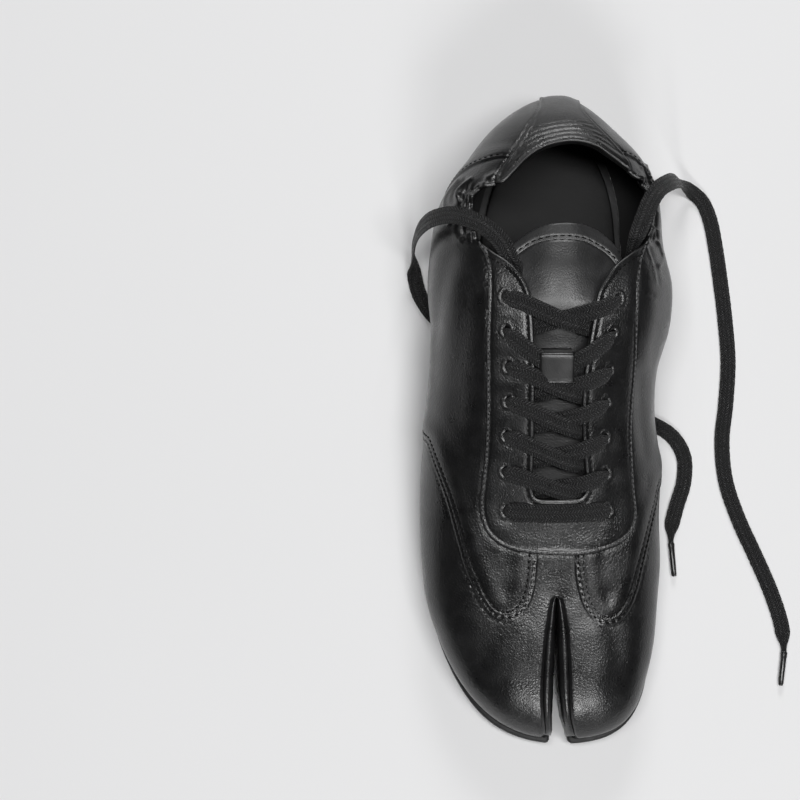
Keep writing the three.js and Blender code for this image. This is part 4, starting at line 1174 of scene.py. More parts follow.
    def end(self, name: str, rows: tuple, tip_end: tuple, wardrobe: Wardrobe) -> None:
        """Args:
            name: The side of the shoe that it comes from.
            rows: Its table.
            tip_end: The far end of its tip.
            wardrobe: The finishes.
        """
        line = smooth_line(np.array(rows, float), self.step)
        path, side = line[:, :3], self.turned(line[:, :3], line[:, 3:])
        last = np.array([*rows[-1][:2], tip_end[2]])
        tip = self.tip("aglet_" + name, last, np.array(tip_end), wardrobe)
        pinch = ease(np.linalg.norm(path - path[-1], axis=1), 0.5, 9.0)
        held = ease(path[:, 2], 20, 50)
        out = ease(np.linalg.norm(path - path[0], axis=1), 0.0, 16.0)
        width = self.width * (0.33 + 0.67 * pinch) * (0.9 + 0.12 * held) * (0.42 + 0.58 * out)
        thick = self.thickness * (1 + 0.35 * (1 - pinch))
        path = np.vstack([path, last + unit(np.array(tip_end) - last) * 0.8])
        side = np.vstack([side, side[-1]])
        width, thick = np.append(width, width[-1]), np.append(thick, thick[-1])
        points, faces, place = ribbon(path, side, width, thick)
        node = "lace_end_" + name
        made = piece(node + "_cord", points, faces, wardrobe.lace, Slot.COTTON, (node,))
        map_lace(made, place)

    def build(self, wardrobe: Wardrobe) -> None:
        """Lays both ends."""
        self.end("lateral", self.lateral, self.lateral_tip, wardrobe)
        self.end("medial", self.medial, self.medial_tip, wardrobe)


@dataclass
class Lacing:
    """The front bar and the crossings of the lace between the eyelets.

    The tables say how far a strand has run lengthwise, and how far it has sunk, at each reach
    across the throat. The pair at the keeper spreads wider.
    """

    last: Last
    width: float = 7.2
    thickness: float = 1.35
    lift: float = 2.05
    dip: float = 2.9
    reach: tuple = (0, 6, 12, 18, 22, 26, 30, 34, 39)
    lateral_run: tuple = (0, 2.1, 4.9, 7.8, 9.6, 11.1, 12.3, 13.3, 14.4)
    medial_run: tuple = (0, 3.4, 5.9, 7.6, 8.5, 9.3, 10.2, 11.1, 12.2)
    lateral_drop: tuple = (0, 0, 0.1, 0.55, 0.9, 1.2, 2.0, 4.0, 5.0)
    medial_drop: tuple = (0, 0, 0.3, 2.2, 2.9, 3.4, 4.0, 4.5, 5.0)
    keeper_pair: int = 5
    keeper_lateral: tuple = (0, 5.4, 10.2, 14.3, 15.4, 16.0, 16.4, 16.9, 17.6)
    keeper_medial: tuple = (0, 5.4, 10.0, 13.4, 14.4, 15.0, 15.4, 15.8, 16.4)

    def sweep(
        self, plan: np.ndarray, sink: np.ndarray, edge: np.ndarray, lean: np.ndarray,
        width: float, full: float,
    ) -> tuple[np.ndarray, list, np.ndarray]:
        """Sweeps a strand that rises out of its eyelet.

        Args:
            plan: Its middle line in plan.
            sink: How far it lies below the height of a lace on the eyestay.
            edge: The way from the eyelet at each point.
            lean: How far the direction of its width leans sideways.
            width: Its full width.
            full: How far from the eyelet it has that width.

        Returns:
            The points, the faces and each point's place along and across the lace.
        """
        base, level = self.last.stand(self.last.flat(plan))
        path = base + level * (self.lift - sink)[:, None]
        path[:, 2] -= self.dip * (1 - ease(edge, 0.0, 1.9)) ** 1.5
        side = np.stack([lean, np.ones_like(edge), np.zeros_like(edge)], axis=1)
        side -= (side * level).sum(axis=1, keepdims=True) * level
        wide = width * (0.2 + 0.8 * np.sqrt(ease(edge, -0.6, full)))
        return ribbon(path, side, wide, np.full(len(path), self.thickness))

    def strand(self, pair: int, side: int) -> tuple[np.ndarray, list, np.ndarray]:
        """Sweeps one strand from its eyelet over the throat and under the far edge."""
        x0, y0 = EYELETS[pair][0 if side > 0 else 1]
        reach = np.linspace(0, 38, 60)
        run, drop = self.medial_run, self.medial_drop
        if side > 0:
            run, drop = self.lateral_run, self.lateral_drop
        if pair == self.keeper_pair:
            run = self.keeper_lateral if side > 0 else self.keeper_medial
        ahead = Column(self.reach, run)(reach) * (0.8 if pair == 1 else 1.0)
        plan = np.stack([x0 - side * (reach - 0.4), y0 + ahead], axis=1)
        lean = side * np.gradient(ahead, reach) * ease(reach, 0.5, 6.0)
        return self.sweep(plan, Column(self.reach, drop)(reach), reach, lean, self.width, 5.5)

    def bar(self) -> tuple[np.ndarray, list, np.ndarray]:
        """Sweeps the front bar from eyelet to eyelet."""
        (x1, y1), (x0, y0) = EYELETS[0]
        share = np.linspace(0, 1, 56)
        x = x0 - 0.4 + (x1 - x0 + 0.8) * share
        y = y0 + (y1 - y0) * share + 5.2 * share * (1 - share)
        sag = 0.5 * bell(share - 0.5, 0.3)
        edge = np.minimum(share, 1 - share) * (x1 - x0)
        plan = np.stack([x, y], axis=1)
        return self.sweep(plan, sag, edge, np.zeros_like(x), 1.1 * self.width, 5.0)

    def lay(self, name: str, parts: list, wardrobe: Wardrobe) -> None:
        """Makes one piece of the lace from its strands."""
        points, faces = joined([(p, f) for p, f, _ in parts])
        made = piece(name + "_braid", points, faces, wardrobe.lace, Slot.COTTON, (name,))
        map_lace(made, np.vstack([place for _, _, place in parts]))

    def build(self, wardrobe: Wardrobe) -> None:
        """Lays the bar and the six crossings."""
        self.lay("lace_bar", [self.bar()], wardrobe)
        for pair in range(1, len(EYELETS)):
            strands = [self.strand(pair, -1), self.strand(pair, 1)]
            self.lay(f"lace_cross_{pair}", strands, wardrobe)


class Panel(Enum):
    """The leather panels, named as their CAD nodes, in the order that they are cut out."""

    EYESTAY = "eyestay"
    HEEL_STRIP = "heel_strip"
    COLLAR_LATERAL = "collar_lateral"
    COLLAR_MEDIAL = "collar_medial"
    COUNTER_LATERAL = "counter_lateral"
    COUNTER_MEDIAL = "counter_medial"
    UPPER = "upper"


# soft ridges and troughs: x and y of three points in plan, half width, height
CREASES = (
    # folds drawn up by the gathered collar
    (-40.9, -66.9, -42.8, -60.0, -44.2, -52.6, 0.8, 0.4),
    (-42.2, -67.5, -44.3, -60.0, -45.8, -53.0, 1.4, -0.35),
    (-44.5, -76.0, -48.5, -65.2, -46.2, -60.1, 1.1, 0.8),
    (36.2, -84.2, 39.3, -93.9, 33.5, -98.7, 1.0, 0.8),
    (38.2, -83.2, 41.5, -93.0, 36.5, -99.5, 1.3, -0.6),
    (42.8, -79.7, 44.3, -92.7, 38.9, -100.0, 1.3, 0.7),
    (35.4, -73.6, 38.0, -70.4, 34.0, -67.4, 1.2, 0.5),
    (-42.8, -107.2, -46.4, -107.4, -47.0, -101.5, 1.2, 0.9),
    (-40.0, -104.6, -43.2, -104.4, -44.4, -99.0, 1.0, 0.7),
    (23.5, -99.0, 24.8, -98.2, 26.5, -97.6, 1.6, 0.9),
    # short seams out from the eyestay
    (27.8, -50.3, 31.0, -51.4, 35.0, -53.4, 0.55, -0.7),
    (27.8, -49.0, 31.0, -50.1, 35.0, -52.1, 0.8, 0.2),
    (-36.2, -47.6, -39.5, -46.9, -43.4, -46.6, 0.55, -0.7),
    (-36.2, -46.3, -39.5, -45.6, -43.4, -45.3, 0.8, 0.2),
    # lateral quarter
    (44.0, -62.0, 47.0, -50.0, 48.5, -36.0, 7.0, -0.9),
    (50.0, -30.0, 51.0, -10.0, 52.0, 4.0, 6.0, 0.7),
    (36.0, -44.0, 40.0, -20.0, 41.0, 4.0, 8.0, -0.7),
    # medial quarter
    (-41.0, -56.0, -42.0, -40.0, -40.0, -22.0, 6.0, 0.8),
    (-38.5, -12.0, -39.0, 4.0, -41.0, 18.0, 5.0, -0.7),
    # vamp over the ball
    (-3.0, 65.0, -3.0, 71.0, -2.8, 77.0, 6.5, -1.0),
    (10.0, 96.0, 14.0, 108.0, 16.0, 120.0, 7.0, 0.5),
    (22.0, 92.0, 27.0, 102.0, 29.0, 112.0, 5.0, -0.4),
    (-18.0, 96.0, -20.0, 108.0, -21.0, 120.0, 6.0, 0.5),
    (-27.0, 94.0, -29.0, 104.0, -30.0, 112.0, 4.5, -0.4),
    (34.0, 30.0, 30.0, 52.0, 22.0, 70.0, 7.0, 0.5),
    (-38.0, 34.0, -34.0, 56.0, -26.0, 72.0, 6.0, 0.5),
)
# the rows of points beside each seam: how far to the seam's right they lie
SEAM_ROWS = {
    "opening": (-0.35, -0.8, -1.4, -2.1, -2.9),
    "eyestay": (-0.8, -0.3, 0.3, 0.7, 1.15, 1.6, 2.2, 3.0),
    "lobe_lateral": (-3.2, -2.5, -1.9, -1.2, -0.5, 0.6, 1.2, 1.8, 2.3, 3.0),
    "lobe_medial": (-3.0, -2.3, -1.8, -1.2, -0.6, 0.5, 1.2, 1.9, 2.5, 3.2),
    "heel_lateral": (-0.8, -0.3, 0.3, 0.8, 1.5),
    "heel_medial": (-1.5, -0.8, -0.3, 0.3, 0.8),
    "counter_lateral": (-1.8, -1.2, -0.6, -0.25, 0.35, 0.9),
    "counter_medial": (-0.9, -0.35, 0.25, 0.6, 1.2, 1.8),
    "collar_lateral": (-0.8, 0.8),
    "collar_medial": (-0.8, 0.8),
    "slit": (-0.35, -0.8, -1.4, -2.2),
}
# how much room a row keeps from its own seam and from a seam that was drawn before
OWN_ROOM = 0.28
SEAM_ROOM = 0.45


@dataclass
class Shell:
    """The leather drawn over the last: its panels, seams, folds, rim and lining."""

    last: Last
    coarse: float = 1.2
    fine: float = 0.6
    finest: float = 0.5
    seam_step: float = 0.55
    eyestay_raise: float = 1.25
    lobe_raise: float = 0.55
    strip_raise: float = 0.7
    counter_raise: float = 0.55
    gather_pitch: float = 9.0
    gather_depth: float = 1.15
    rim: float = 1.15
    throat_depth: float = 3.2
    # the parts of the flat map that are meshed finely
    fine_boxes: tuple = (((7, -42), (52, 44)), ((28, -66), (100, -28)), ((28, 26), (96, 66)))
    seams: dict = field(default_factory=dict)

    def line(self, plan: list, tail: tuple = (), head: tuple = ()) -> np.ndarray:
        """Draws an open line on the flat map.

        Args:
            plan: Its points in plan.
            tail: Flat points after them.
            head: Flat points before them.

        Returns:
            The even line.
        """
        flat = self.last.flat(smooth_line(np.array(plan, float), 1.0))
        parts = [np.array(head).reshape(-1, 2), flat, np.array(tail).reshape(-1, 2)]
        return smooth_line(np.vstack(parts), self.seam_step)

    def draw_seams(self) -> None:
        """Draws every edge and seam on the flat map."""
        last, seams = self.last, self.seams
        heel, feet = slice(0, 80), (1.15, 0.6, 0.1)
        ring = last.flat(smooth_line(np.array(OPENING_LATERAL + OPENING_MEDIAL, float), 0.8, True))
        seams["opening"] = Seam(self.gather(smooth_line(ring, 0.6, True)), True)
        for name, side, plan, downs in (
            ("eyestay", 1, [(31.4, -71.0)] + EYESTAY_EDGE + [(-41.0, -72.0)], ()),
            ("lobe_lateral", 1, LOBE_LATERAL, ((7.0, 0.0), (2.0, 0.55), (-2.0, 1.15))),
            ("lobe_medial", -1, LOBE_MEDIAL, ((24.0, 0.0), (19.0, 0.55), (16.0, 1.15))),
            ("heel_lateral", 1, HEEL_LATERAL + [(22.0, -93.0)], ()),
            ("heel_medial", -1, HEEL_MEDIAL + [(-34.0, -98.0)], ()),
            ("counter_lateral", 1, [(14.0, -106.0)] + COUNTER_LATERAL[:-2] + [(38.8, -103.2)],
             ((-97.5, 0.05), (-90.0, 0.6), (-84.0, 1.15))),
            ("counter_medial", -1, [(-28.0, -108.0)] + COUNTER_MEDIAL[:-1] + [(-43.2, -101.4)],
             ((-95.0, 0.05), (-88.0, 0.6), (-83.0, 1.15))),
            ("collar_lateral", 1, [(24.0, -108.0)] + COLLAR_LATERAL + [(22.0, -55.0)], ()),
            ("collar_medial", -1, [(-33.0, -109.4)] + COLLAR_MEDIAL + [(-31.0, -55.5)], ()),
        ):
            head = ()
            if name.startswith("heel"):
                head = last.down_end(heel, 1, side, 1.6 if side > 0 else -14.6, feet)
            tail = tuple(last.down_side(y, side, down) for y, down in downs)
            seams[name] = Seam(self.line(plan, tail, head))
        seams["slit"] = Seam(self.slit_ring(), True)

    def gather(self, ring: np.ndarray) -> np.ndarray:
        """Draws the gathered collar's edge in waves."""
        wave = np.sin(run_of(ring) * 2 * math.pi / self.gather_pitch + 0.6)
        return ring + right_of(ring_way(ring)) * (0.6 * self.gathers(ring) * wave)[:, None]

    def gathers(self, flat: np.ndarray) -> np.ndarray:
        """Returns how far the elastic gathers the leather, from 0 to 1."""
        y = HEEL_Y + UPPER_LENGTH * self.last.share_at(flat[:, 0])
        lateral = ease(y, -98, -93) * (1 - ease(y, -74, -67))
        medial = ease(y, -103, -98) * (1 - ease(y, -74, -67))
        return np.where(flat[:, 1] > 0, lateral, medial)

    def slit_ring(self) -> np.ndarray:
        """Draws the slit between the toes, out over the toe's end."""
        last, sides = self.last, []
        for plan, side, x in ((SLIT_LATERAL, 1, 1.5), (SLIT_MEDIAL, -1, -11.4)):
            tail = last.down_end(slice(-60, None), -1, side, x, (0.25, 0.7, 1.2))
            flat = last.flat(smooth_line(np.array(plan[:-1], float), 0.8))
            sides.append(smooth_line(np.vstack([flat, np.array(tail)]), 0.6))
        back = smooth_line(last.flat(np.array(SLIT_BACK, float)), 0.5)
        front = np.array([(last.length + 4, 9.0), (last.length + 4, -9.0)])
        return np.vstack([sides[0], front, sides[1][::-1], back])

    def outline(self) -> np.ndarray:
        """Returns the flat map's whole outline, down to the sole's edge."""
        shares = spread(560)
        run = self.last.run_at(shares)
        lateral, medial = (sum(self.last.spans(shares, side)) for side in (1, -1))
        part = np.linspace(0, 1, 13)[1:-1]
        toe = np.full_like(part, run[-1])
        return np.vstack([
            np.stack([0 * part, lateral[0] * part], axis=1),
            np.stack([run, lateral], axis=1),
            np.stack([toe, lateral[-1] * (1 - part)], axis=1),
            [[run[-1], 0]],
            np.stack([toe, -medial[-1] * part], axis=1),
            np.stack([run, -medial], axis=1)[::-1],
            np.stack([0 * part, -medial[0] * (1 - part)], axis=1),
            [[0, 0]],
        ])

    def field(self, step: float) -> np.ndarray:
        """Returns a field of points over the whole flat map."""
        return lattice(np.array([0.0, -140.0]), np.array([self.last.length, 140.0]), step)

    def seam_points(self) -> list[np.ndarray]:
        """Returns the rows of points beside the seams, clear of the seams drawn before."""
        kept, drawn = [], []
        for name, offsets in SEAM_ROWS.items():
            for offset in offsets:
                points, _ = self.seams[name].beside(offset, self.seam_step)
                away, _ = self.seams[name].nearest(points, OWN_ROOM + 0.1)
                clear = np.abs(away) > min(abs(offset), OWN_ROOM) - 0.02
                for other in drawn:
                    room = max(SEAM_ROWS[other]) if other == "eyestay" else SEAM_ROOM
                    away, _ = self.seams[other].nearest(points, room + 0.1)
                    clear &= np.abs(away) > room
                kept.append(points[clear])
            drawn.append(name)
        return kept

    def scatter(self) -> np.ndarray:
        """Returns the loose points: rows beside the seams, and fields between them."""
        field_ = self.field(self.coarse)
        keep, fine, finest = np.ones(len(field_), bool), [], []
        for x, y in (spot for pair in EYELETS for spot in pair):
            middle, half = np.array([y - HEEL_Y, x]), np.array([6.5, 5.5])
            patch = lattice(middle - half, middle + half, self.finest)
            centre = patch.mean(axis=0)
            along = HEEL_Y + UPPER_LENGTH * (centre[0] / UPPER_LENGTH)
            target = self.last.flat(np.array([[centre[1], along]]))[0]
            finest.append(self.clear_of(patch - centre + target))
            keep &= np.any(np.abs(field_ - target) > half + 0.4, axis=1)
        for low, high in self.fine_boxes:
            keep &= ~np.all((field_ > low) & (field_ < high), axis=1)
            patch = lattice(np.array(low, float), np.array(high, float), self.fine)
            fine.append(self.clear_of(patch))
        return np.vstack(self.seam_points() + fine + [self.clear_of(field_[keep])] + finest)

    def clear_of(self, points: np.ndarray) -> np.ndarray:
        """Drops the points that lie among the rows beside a seam."""
        clear = np.ones(len(points), bool)
        for name, offsets in SEAM_ROWS.items():
            away, _ = self.seams[name].nearest(points, 4.5)
            low, high = min(offsets) - 0.35, max(max(offsets) + 0.35, 0.8)
            if name in ("opening", "slit"):
                high = np.inf
            clear &= (away < low) | (away > high) | ~known(away)
        return points[clear]

    def relief(self, flat: np.ndarray) -> np.ndarray:
        """Returns how far the leather stands off the last, in millimetres."""
        seams = self.seams
        height = np.zeros(len(flat))
        y = HEEL_Y + UPPER_LENGTH * self.last.share_at(flat[:, 0])
        for *line, width, rise in CREASES:
            line = Seam(smooth_line(self.last.flat(np.reshape(line, (3, 2))), 2.0))
            away, _ = line.nearest(flat, 3 * width)
            height += rise * bell(away, width)
        # the eyestay's edge: a raised ridge with a groove outside it
        stay, _ = seams["eyestay"].nearest(flat, 8)
        in_stay = self.inside(flat, Panel.EYESTAY)
        stay = np.where(in_stay, np.abs(stay), -np.abs(stay))
        height += self.eyestay_raise * ease(stay, -0.35, 0.35) + 0.25 * bell(stay - 0.8, 0.8)
        height -= 0.3 * bell(stay - 1.6, 0.35) + 0.35 * bell(stay + 0.5, 0.5)
        height += 0.35 * bell(2.0 + np.clip(stay, 0, 30) - 6.0, 4.0) * (stay > 0)
        # the lobes' double seams, with a beaded outer groove
        for name, side in (("lobe_lateral", -1), ("lobe_medial", 1)):
            away, run = seams[name].nearest(flat, 14)
            away = away * side
            dots = 0.62 + 0.38 * np.cos(2 * math.pi * run / 2.6)
            height += (~in_stay & known(away)) * (
                self.lobe_raise * ease(away, -2.45, -1.95) * (1 - ease(away, 3.0, 12.0))
                - 0.75 * dots * bell(away + 1.1, 0.5) - 0.32 * bell(away - 1.3, 0.36)
                - 0.35 * bell(away + 2.7, 0.4) + 0.2 * bell(away - 5.0, 2.6)
            )
        # the throat's turned edge
        edge, run = seams["opening"].nearest(flat, 30)
        height += ease(y, -62, -54) * (0.28 * bell(edge + 0.6, 0.45) - 0.4 * bell(edge + 2.0, 0.36))
        # the heel strip and its folds
        strip = self.inside(flat, Panel.HEEL_STRIP)
        for name in ("heel_lateral", "heel_medial"):
            away, _ = seams[name].nearest(flat, 6)
            signed = np.where(strip, np.abs(away), -np.abs(away))
            height -= known(away) * (0.5 * bell(signed + 0.55, 0.5) - 0.3 * bell(signed - 0.9, 0.7))
        deep = np.where(known(edge), np.maximum(0, -edge), FAR)
        middle = np.minimum(*(
            np.abs(seams[name].nearest(flat, 30)[0]) for name in ("heel_lateral", "heel_medial")
        ))
        height += strip * self.strip_raise * ease(middle, 0.0, 0.9)
        folds = np.sin(2 * math.pi * (deep - 1.2) / 2.5 + 0.2 * np.sin(flat[:, 1] / 4.0))
        folds *= ease(deep, 1.5, 3.5) * (1 - ease(deep, 9.0, 14.0)) * ease(middle, 0.3, 4.0)
        height += strip * (0.1 * folds + 0.4 * bell(deep - 1.4, 1.3))
        # the counters
        for name, side in (("counter_lateral", -1), ("counter_medial", 1)):
            away, _ = seams[name].nearest(flat, 10)
            away = np.where(strip, FAR, away * side)
            height += known(away) * (
                self.counter_raise * ease(away, -0.3, 0.3) * (1 - ease(away, 3.0, 9.0))
                - 0.25 * bell(away - 1.2, 0.35) - 0.35 * bell(away + 0.5, 0.5)
            )
        # the gathered collar
        wave = np.sin(run * 2 * math.pi / self.gather_pitch)
        wave += 0.15 * np.sin(run * 2 * math.pi / 4.3 + 1.0)
        height += self.gathers(flat) * ~strip * (
            self.gather_depth * wave * np.exp(-np.minimum(deep, 60) / 5.5)
            + 0.7 * bell(deep - 0.6, 0.7) - 0.7 * bell(deep - 2.2, 0.6)
            + 0.7 * bell(deep - 8.5, 2.4) - 0.9 * bell(deep - 5.2, 1.1)
        )
        # the eyelets, with a low rim round each and a swelling towards the next
        for side, spot in ((side, spot) for pair in EYELETS for side, spot in zip((1, -1), pair)):
            centre = self.last.flat(np.array([spot]))[0]
            along, across = flat[:, 0] - centre[0], (flat[:, 1] - centre[1]) * side
            reach = np.hypot(along / 1.35, across + 0.3)
            swell = np.hypot((along - 7.3) / 2.6, (across + 1.0) / 3.6)
            height += ((np.abs(along) < 13) & (np.abs(across) < 12)) * (
                0.18 * bell(reach - 2.2, 0.5) - 1.2 * (1 - ease(reach, 0.4, 1.4))
                - 0.3 * bell(reach, 4.4) + 0.3 * bell(swell, 1.0)
            )
        # the slit's edge
        away, _ = seams["slit"].nearest(flat, 12)
        return height + known(away) * (0.12 * bell(away + 4.0, 3.0) - 0.9 * bell(away, 0.6))

    def inside(self, flat: np.ndarray, panel: Panel) -> np.ndarray:
        """True for each flat point inside one panel, with the panels above it left in."""
        heel, throat = self.last.flat(np.array([(-4.0, -90.0), (-4.0, -62.0)]))
        if panel == Panel.HEEL_STRIP:
            right, left = self.seams["heel_lateral"].line, self.seams["heel_medial"].line
            below = [(-30, 40), (-30, -40)]
            below = [(right[0][0], right[0][1] + 30), *below, (left[0][0], left[0][1] - 30)]
            return Seam(np.vstack([right[::-1], below, left]), True).holds(flat)
        line = self.seams[panel.value].line
        if panel in (Panel.COUNTER_LATERAL, Panel.COUNTER_MEDIAL):
            out = 200 if panel == Panel.COUNTER_LATERAL else -200
            close = [(line[-1][0], out), (-30, out), (-30, 0), (line[0][0], 0)]
        else:
            close = [throat] if panel == Panel.EYESTAY else [throat, heel]
        return Seam(np.vstack([line, close]), True).holds(flat)

    def drape(self) -> tuple[np.ndarray, np.ndarray, np.ndarray]:
        """Meshes the flat map and lifts it onto the last.

        Returns:
            The leather's points, its triangles, and their middles on the flat map.
        """
        outline = self.outline()
        rings = [(outline, True)] + [(seam.line, seam.closed) for seam in self.seams.values()]
        flat, faces = triangulate(rings, self.scatter())
        centre = flat[faces].mean(axis=1)
        kept = Seam(outline, True).holds(centre)
        kept &= ~self.seams["opening"].holds(centre) & ~self.seams["slit"].holds(centre)
        base, normal = self.last.stand(flat)
        return base + normal * self.relief(flat)[:, None], faces[kept], centre[kept]

    def panels(self, faces: np.ndarray, centre: np.ndarray) -> dict:
        """Sorts the triangles into panels by their middles on the flat map."""
        left, sorted_ = np.ones(len(faces), bool), {}
        for panel in Panel:
            pick = left if panel == Panel.UPPER else left & self.inside(centre, panel)
            sorted_[panel] = faces[pick]
            left = left & ~pick
        return sorted_

    def rim_strip(self) -> tuple[np.ndarray, list]:
        """Rolls the leather's edge over, all round the opening.

        The collar's edge is rolled round, and the throat's is cut square.

        Returns:
            The points and faces.
        """
        ring = self.seams["opening"].line
        base, normal = self.last.stand(ring)
        edge = base + normal * self.relief(ring)[:, None]
        inward = unit(np.cross(normal, ring_way(edge, 2)))
        flip = np.sign(((edge.mean(axis=0) - edge) * inward).sum(axis=1))
        inward *= np.where(np.median(flip) >= 0, 1, -1)
        y = base[:, 1]
        cut = ease(y, -66, -58)[:, None]
        slim = 0.45 + 0.55 * ease(y, -110, -97)[:, None]
        turn = np.linspace(0, math.pi, 9)
        square_b = np.array([0.0, 0.28, 0.45, 0.5, 0.5, 0.5, 0.42, 0.1, -0.4])
        square_n = np.array([0.0, -0.08, -0.35, -0.9, -1.6, -2.4, -2.9, -3.15, -3.2])
        b = self.rim * np.sin(turn) ** 0.8 * slim * (1 - cut) + square_b * cut
        n = -self.rim * (1 - np.cos(turn)) * (1 - cut) + square_n * cut
        points = (
            edge[:, None, :] + inward[:, None, :] * b[..., None] + normal[:, None, :] * n[..., None]
        )
        tail = points[:, -1:, :] - inward[:, None, :] * 1.4
        points = np.concatenate([points, tail], axis=1)
        return points.reshape(-1, 3), quads(*points.shape[:2], round_rows=True)

    def lining(self) -> tuple[np.ndarray, np.ndarray]:
        """Hangs the lining inside the leather."""
        outline = self.outline()
        opening = smooth_line(self.seams["opening"].line[::3], 1.8, True)
        slit = self.seams["slit"].line[::2]
        loose = self.field(3.2)
        away, _ = Seam(opening, True).nearest(loose, 3)
        loose = loose[np.abs(away) > 1.2]
        flat, faces = triangulate([(outline[::3], True), (opening, True), (slit, True)], loose)
        centre = flat[faces].mean(axis=1)
        kept = Seam(outline, True).holds(centre) & ~Seam(opening, True).holds(centre)
        kept &= ~self.seams["slit"].holds(centre)
        base, normal = self.last.stand(flat)
        away, run = self.seams["opening"].nearest(flat, 30)
        deep = np.minimum(np.abs(away), 60)
        wave = np.sin(run * 2 * math.pi / 7.3) * self.gathers(flat) * np.exp(-deep / 5.5)
        roll = 2 * self.rim
        depth = roll + (self.throat_depth - roll) * ease(base[:, 1], -66, -58)
        return base + normal * (0.9 * wave - depth)[:, None], faces[kept][:, ::-1]

    def row(
        self, seam: str, offset: float, start: float, end: float, pitch: float
    ) -> tuple[np.ndarray, ...]:
        """Places stitches beside a seam.

        Args:
            seam: The seam's name.
            offset: How far to its right they lie.
            start: How much of its start is left free.
            end: How much of its end is left free.
            pitch: The way from stitch to stitch.

        Returns:
            Their middles, their directions, the surface's directions, and their flat points.
        """
        flat, way = self.seams[seam].beside(offset, pitch, start, end)
        at, up = self.last.stand(flat)
        forward = self.last.place(flat + way * 0.5) - at
        return at + up * (self.relief(flat) + 0.12)[:, None], forward, up, flat

    def build(self, wardrobe: Wardrobe) -> None:
        """Makes the panels, the rim and the lining."""
        self.draw_seams()
        solid, faces, centre = self.drape()
        for panel, part in self.panels(faces, centre).items():
            name = panel.value
            used, index = np.unique(part, return_inverse=True)
            made = piece(
                name + "_leather", solid[used], index.reshape(-1, 3), wardrobe.upper, Slot.UPPER,
                (name,),
            )
            self.face_out(made)
        piece("opening_rim", *self.rim_strip(), wardrobe.edge, Slot.UPPER)
        piece("upper_lining", *self.lining(), wardrobe.lining, Slot.LINING)

    def face_out(self, made: bpy.types.Object) -> None:
        """Turns a panel's faces outward."""
        mesh = made.data
        normals = np.empty(len(mesh.polygons) * 3)
        mesh.polygons.foreach_get("normal", normals)
        if normals.reshape(-1, 3)[:, 2].sum() < 0:
            mesh.flip_normals()


@dataclass
class Gusset:
    """The rolled leather strips that line the slit between the toes.

    The profile runs from the slit's edge inward: shares of the way across, and how far the roll
    stands up or, as a share of the roll's depth, hangs down. The tables run along the slit: y
    with the middle line's x, and y with half the gap that is left open.
    """

    shell: Shell
    roll: float = 3.4
    profile: tuple = (
        (0.0, -0.08), (0.06, 0.25), (0.16, 0.62), (0.3, 0.85), (0.46, 0.82), (0.6, 0.52),
        (0.74, -0.03), (0.87, -0.26), (0.95, -0.52), (0.99, -0.8), (1.0, -1.0),
    )
    middle: tuple = (
        (76, -2.7), (84, -2.7), (96, -2.7), (106, -2.65), (118, -2.7), (130, -3.35), (136, -4.5),
        (141, -4.9),
    )
    gap: tuple = (
        (78.0, 0.12), (84.0, 0.3), (96.0, 0.5), (110.0, 0.8), (120.0, 1.2), (130.0, 2.0),
        (136.0, 2.8), (142.0, 3.7),
    )

    def slit_line(self) -> np.ndarray:
        """Returns the slit's edge on the flat map, up one side, round its end and back."""
        ring = self.shell.slit_ring()
        on_last = ring[:, 0] < self.shell.last.length + 1
        on_last &= Seam(self.shell.outline(), True).holds(ring)
        order = np.roll(np.arange(len(ring)), -(int(np.flatnonzero(~on_last)[-1]) + 1))
        return smooth_line(ring[[i for i in order if on_last[i]]], 0.55)

    def build(self, wardrobe: Wardrobe) -> None:
        """Sweeps the strip along one side of the slit, round its end and back."""
        line = self.slit_line()
        base, normal = self.shell.last.stand(line)
        edge = base + normal * (self.shell.relief(line) - 0.25)[:, None]
        plan, y = edge[:, :2], edge[:, 1]
        inward = right_of(unit(np.gradient(plan, axis=0)))
        middle = np.interp(y, *np.array(self.middle).T)
        side = np.sign(plan[:, 0] - middle)
        if np.median(inward[:, 0] * side) > 0:
            inward = -inward
        gap = np.interp(y, *np.array(self.gap).T)
        straight = ease(y, 78.6, 82.0)[:, None]
        aim = np.stack([-side, 0 * side], axis=1)
        inward = unit(inward * (1 - straight) + aim * straight)
        wide = np.abs(plan[:, 0] - middle) - gap
        round_end = np.hypot(plan[:, 0] + 2.7, np.minimum(0, y - 79.2)) - gap
        wide = np.maximum(np.where(y < 80.5, round_end, wide), 0.2)
        floor = sole_top(y) - 1.2
        roll = np.minimum(self.roll, np.maximum(edge[:, 2] - floor, 0.3) * 0.6)
        end = ease(y, 78.0, 84.0)
        rows = [edge - normal * 1.6]
        for across, lift in self.profile:
            up = np.where(lift > 0, lift * (0.45 + 0.55 * end), lift * roll)
            reach = (wide * across)[:, None]
            rows.append(np.column_stack([plan + inward * reach, edge[:, 2] + up]))
        for t in (0.12, 0.3, 0.55, 0.8, 1.0):
            z = (edge[:, 2] - roll) * (1 - t) + floor * t
            rows.append(np.column_stack([plan + inward * wide[:, None], z]))
        points = np.stack(rows, axis=1)
        piece(
            "toe_gusset_leather", points.reshape(-1, 3), quads(*points.shape[:2]), wardrobe.upper,
            Slot.UPPER, ("toe_gusset",),
        )


def weld(made: bpy.types.Object, reach_mm: float) -> None:
    """Joins points that lie on each other and turns the faces outward."""
    bm = bmesh.new()
    bm.from_mesh(made.data)
    bmesh.ops.remove_doubles(bm, verts=bm.verts, dist=reach_mm * MM)
    bmesh.ops.recalc_face_normals(bm, faces=bm.faces)
    bm.to_mesh(made.data)
    bm.free()


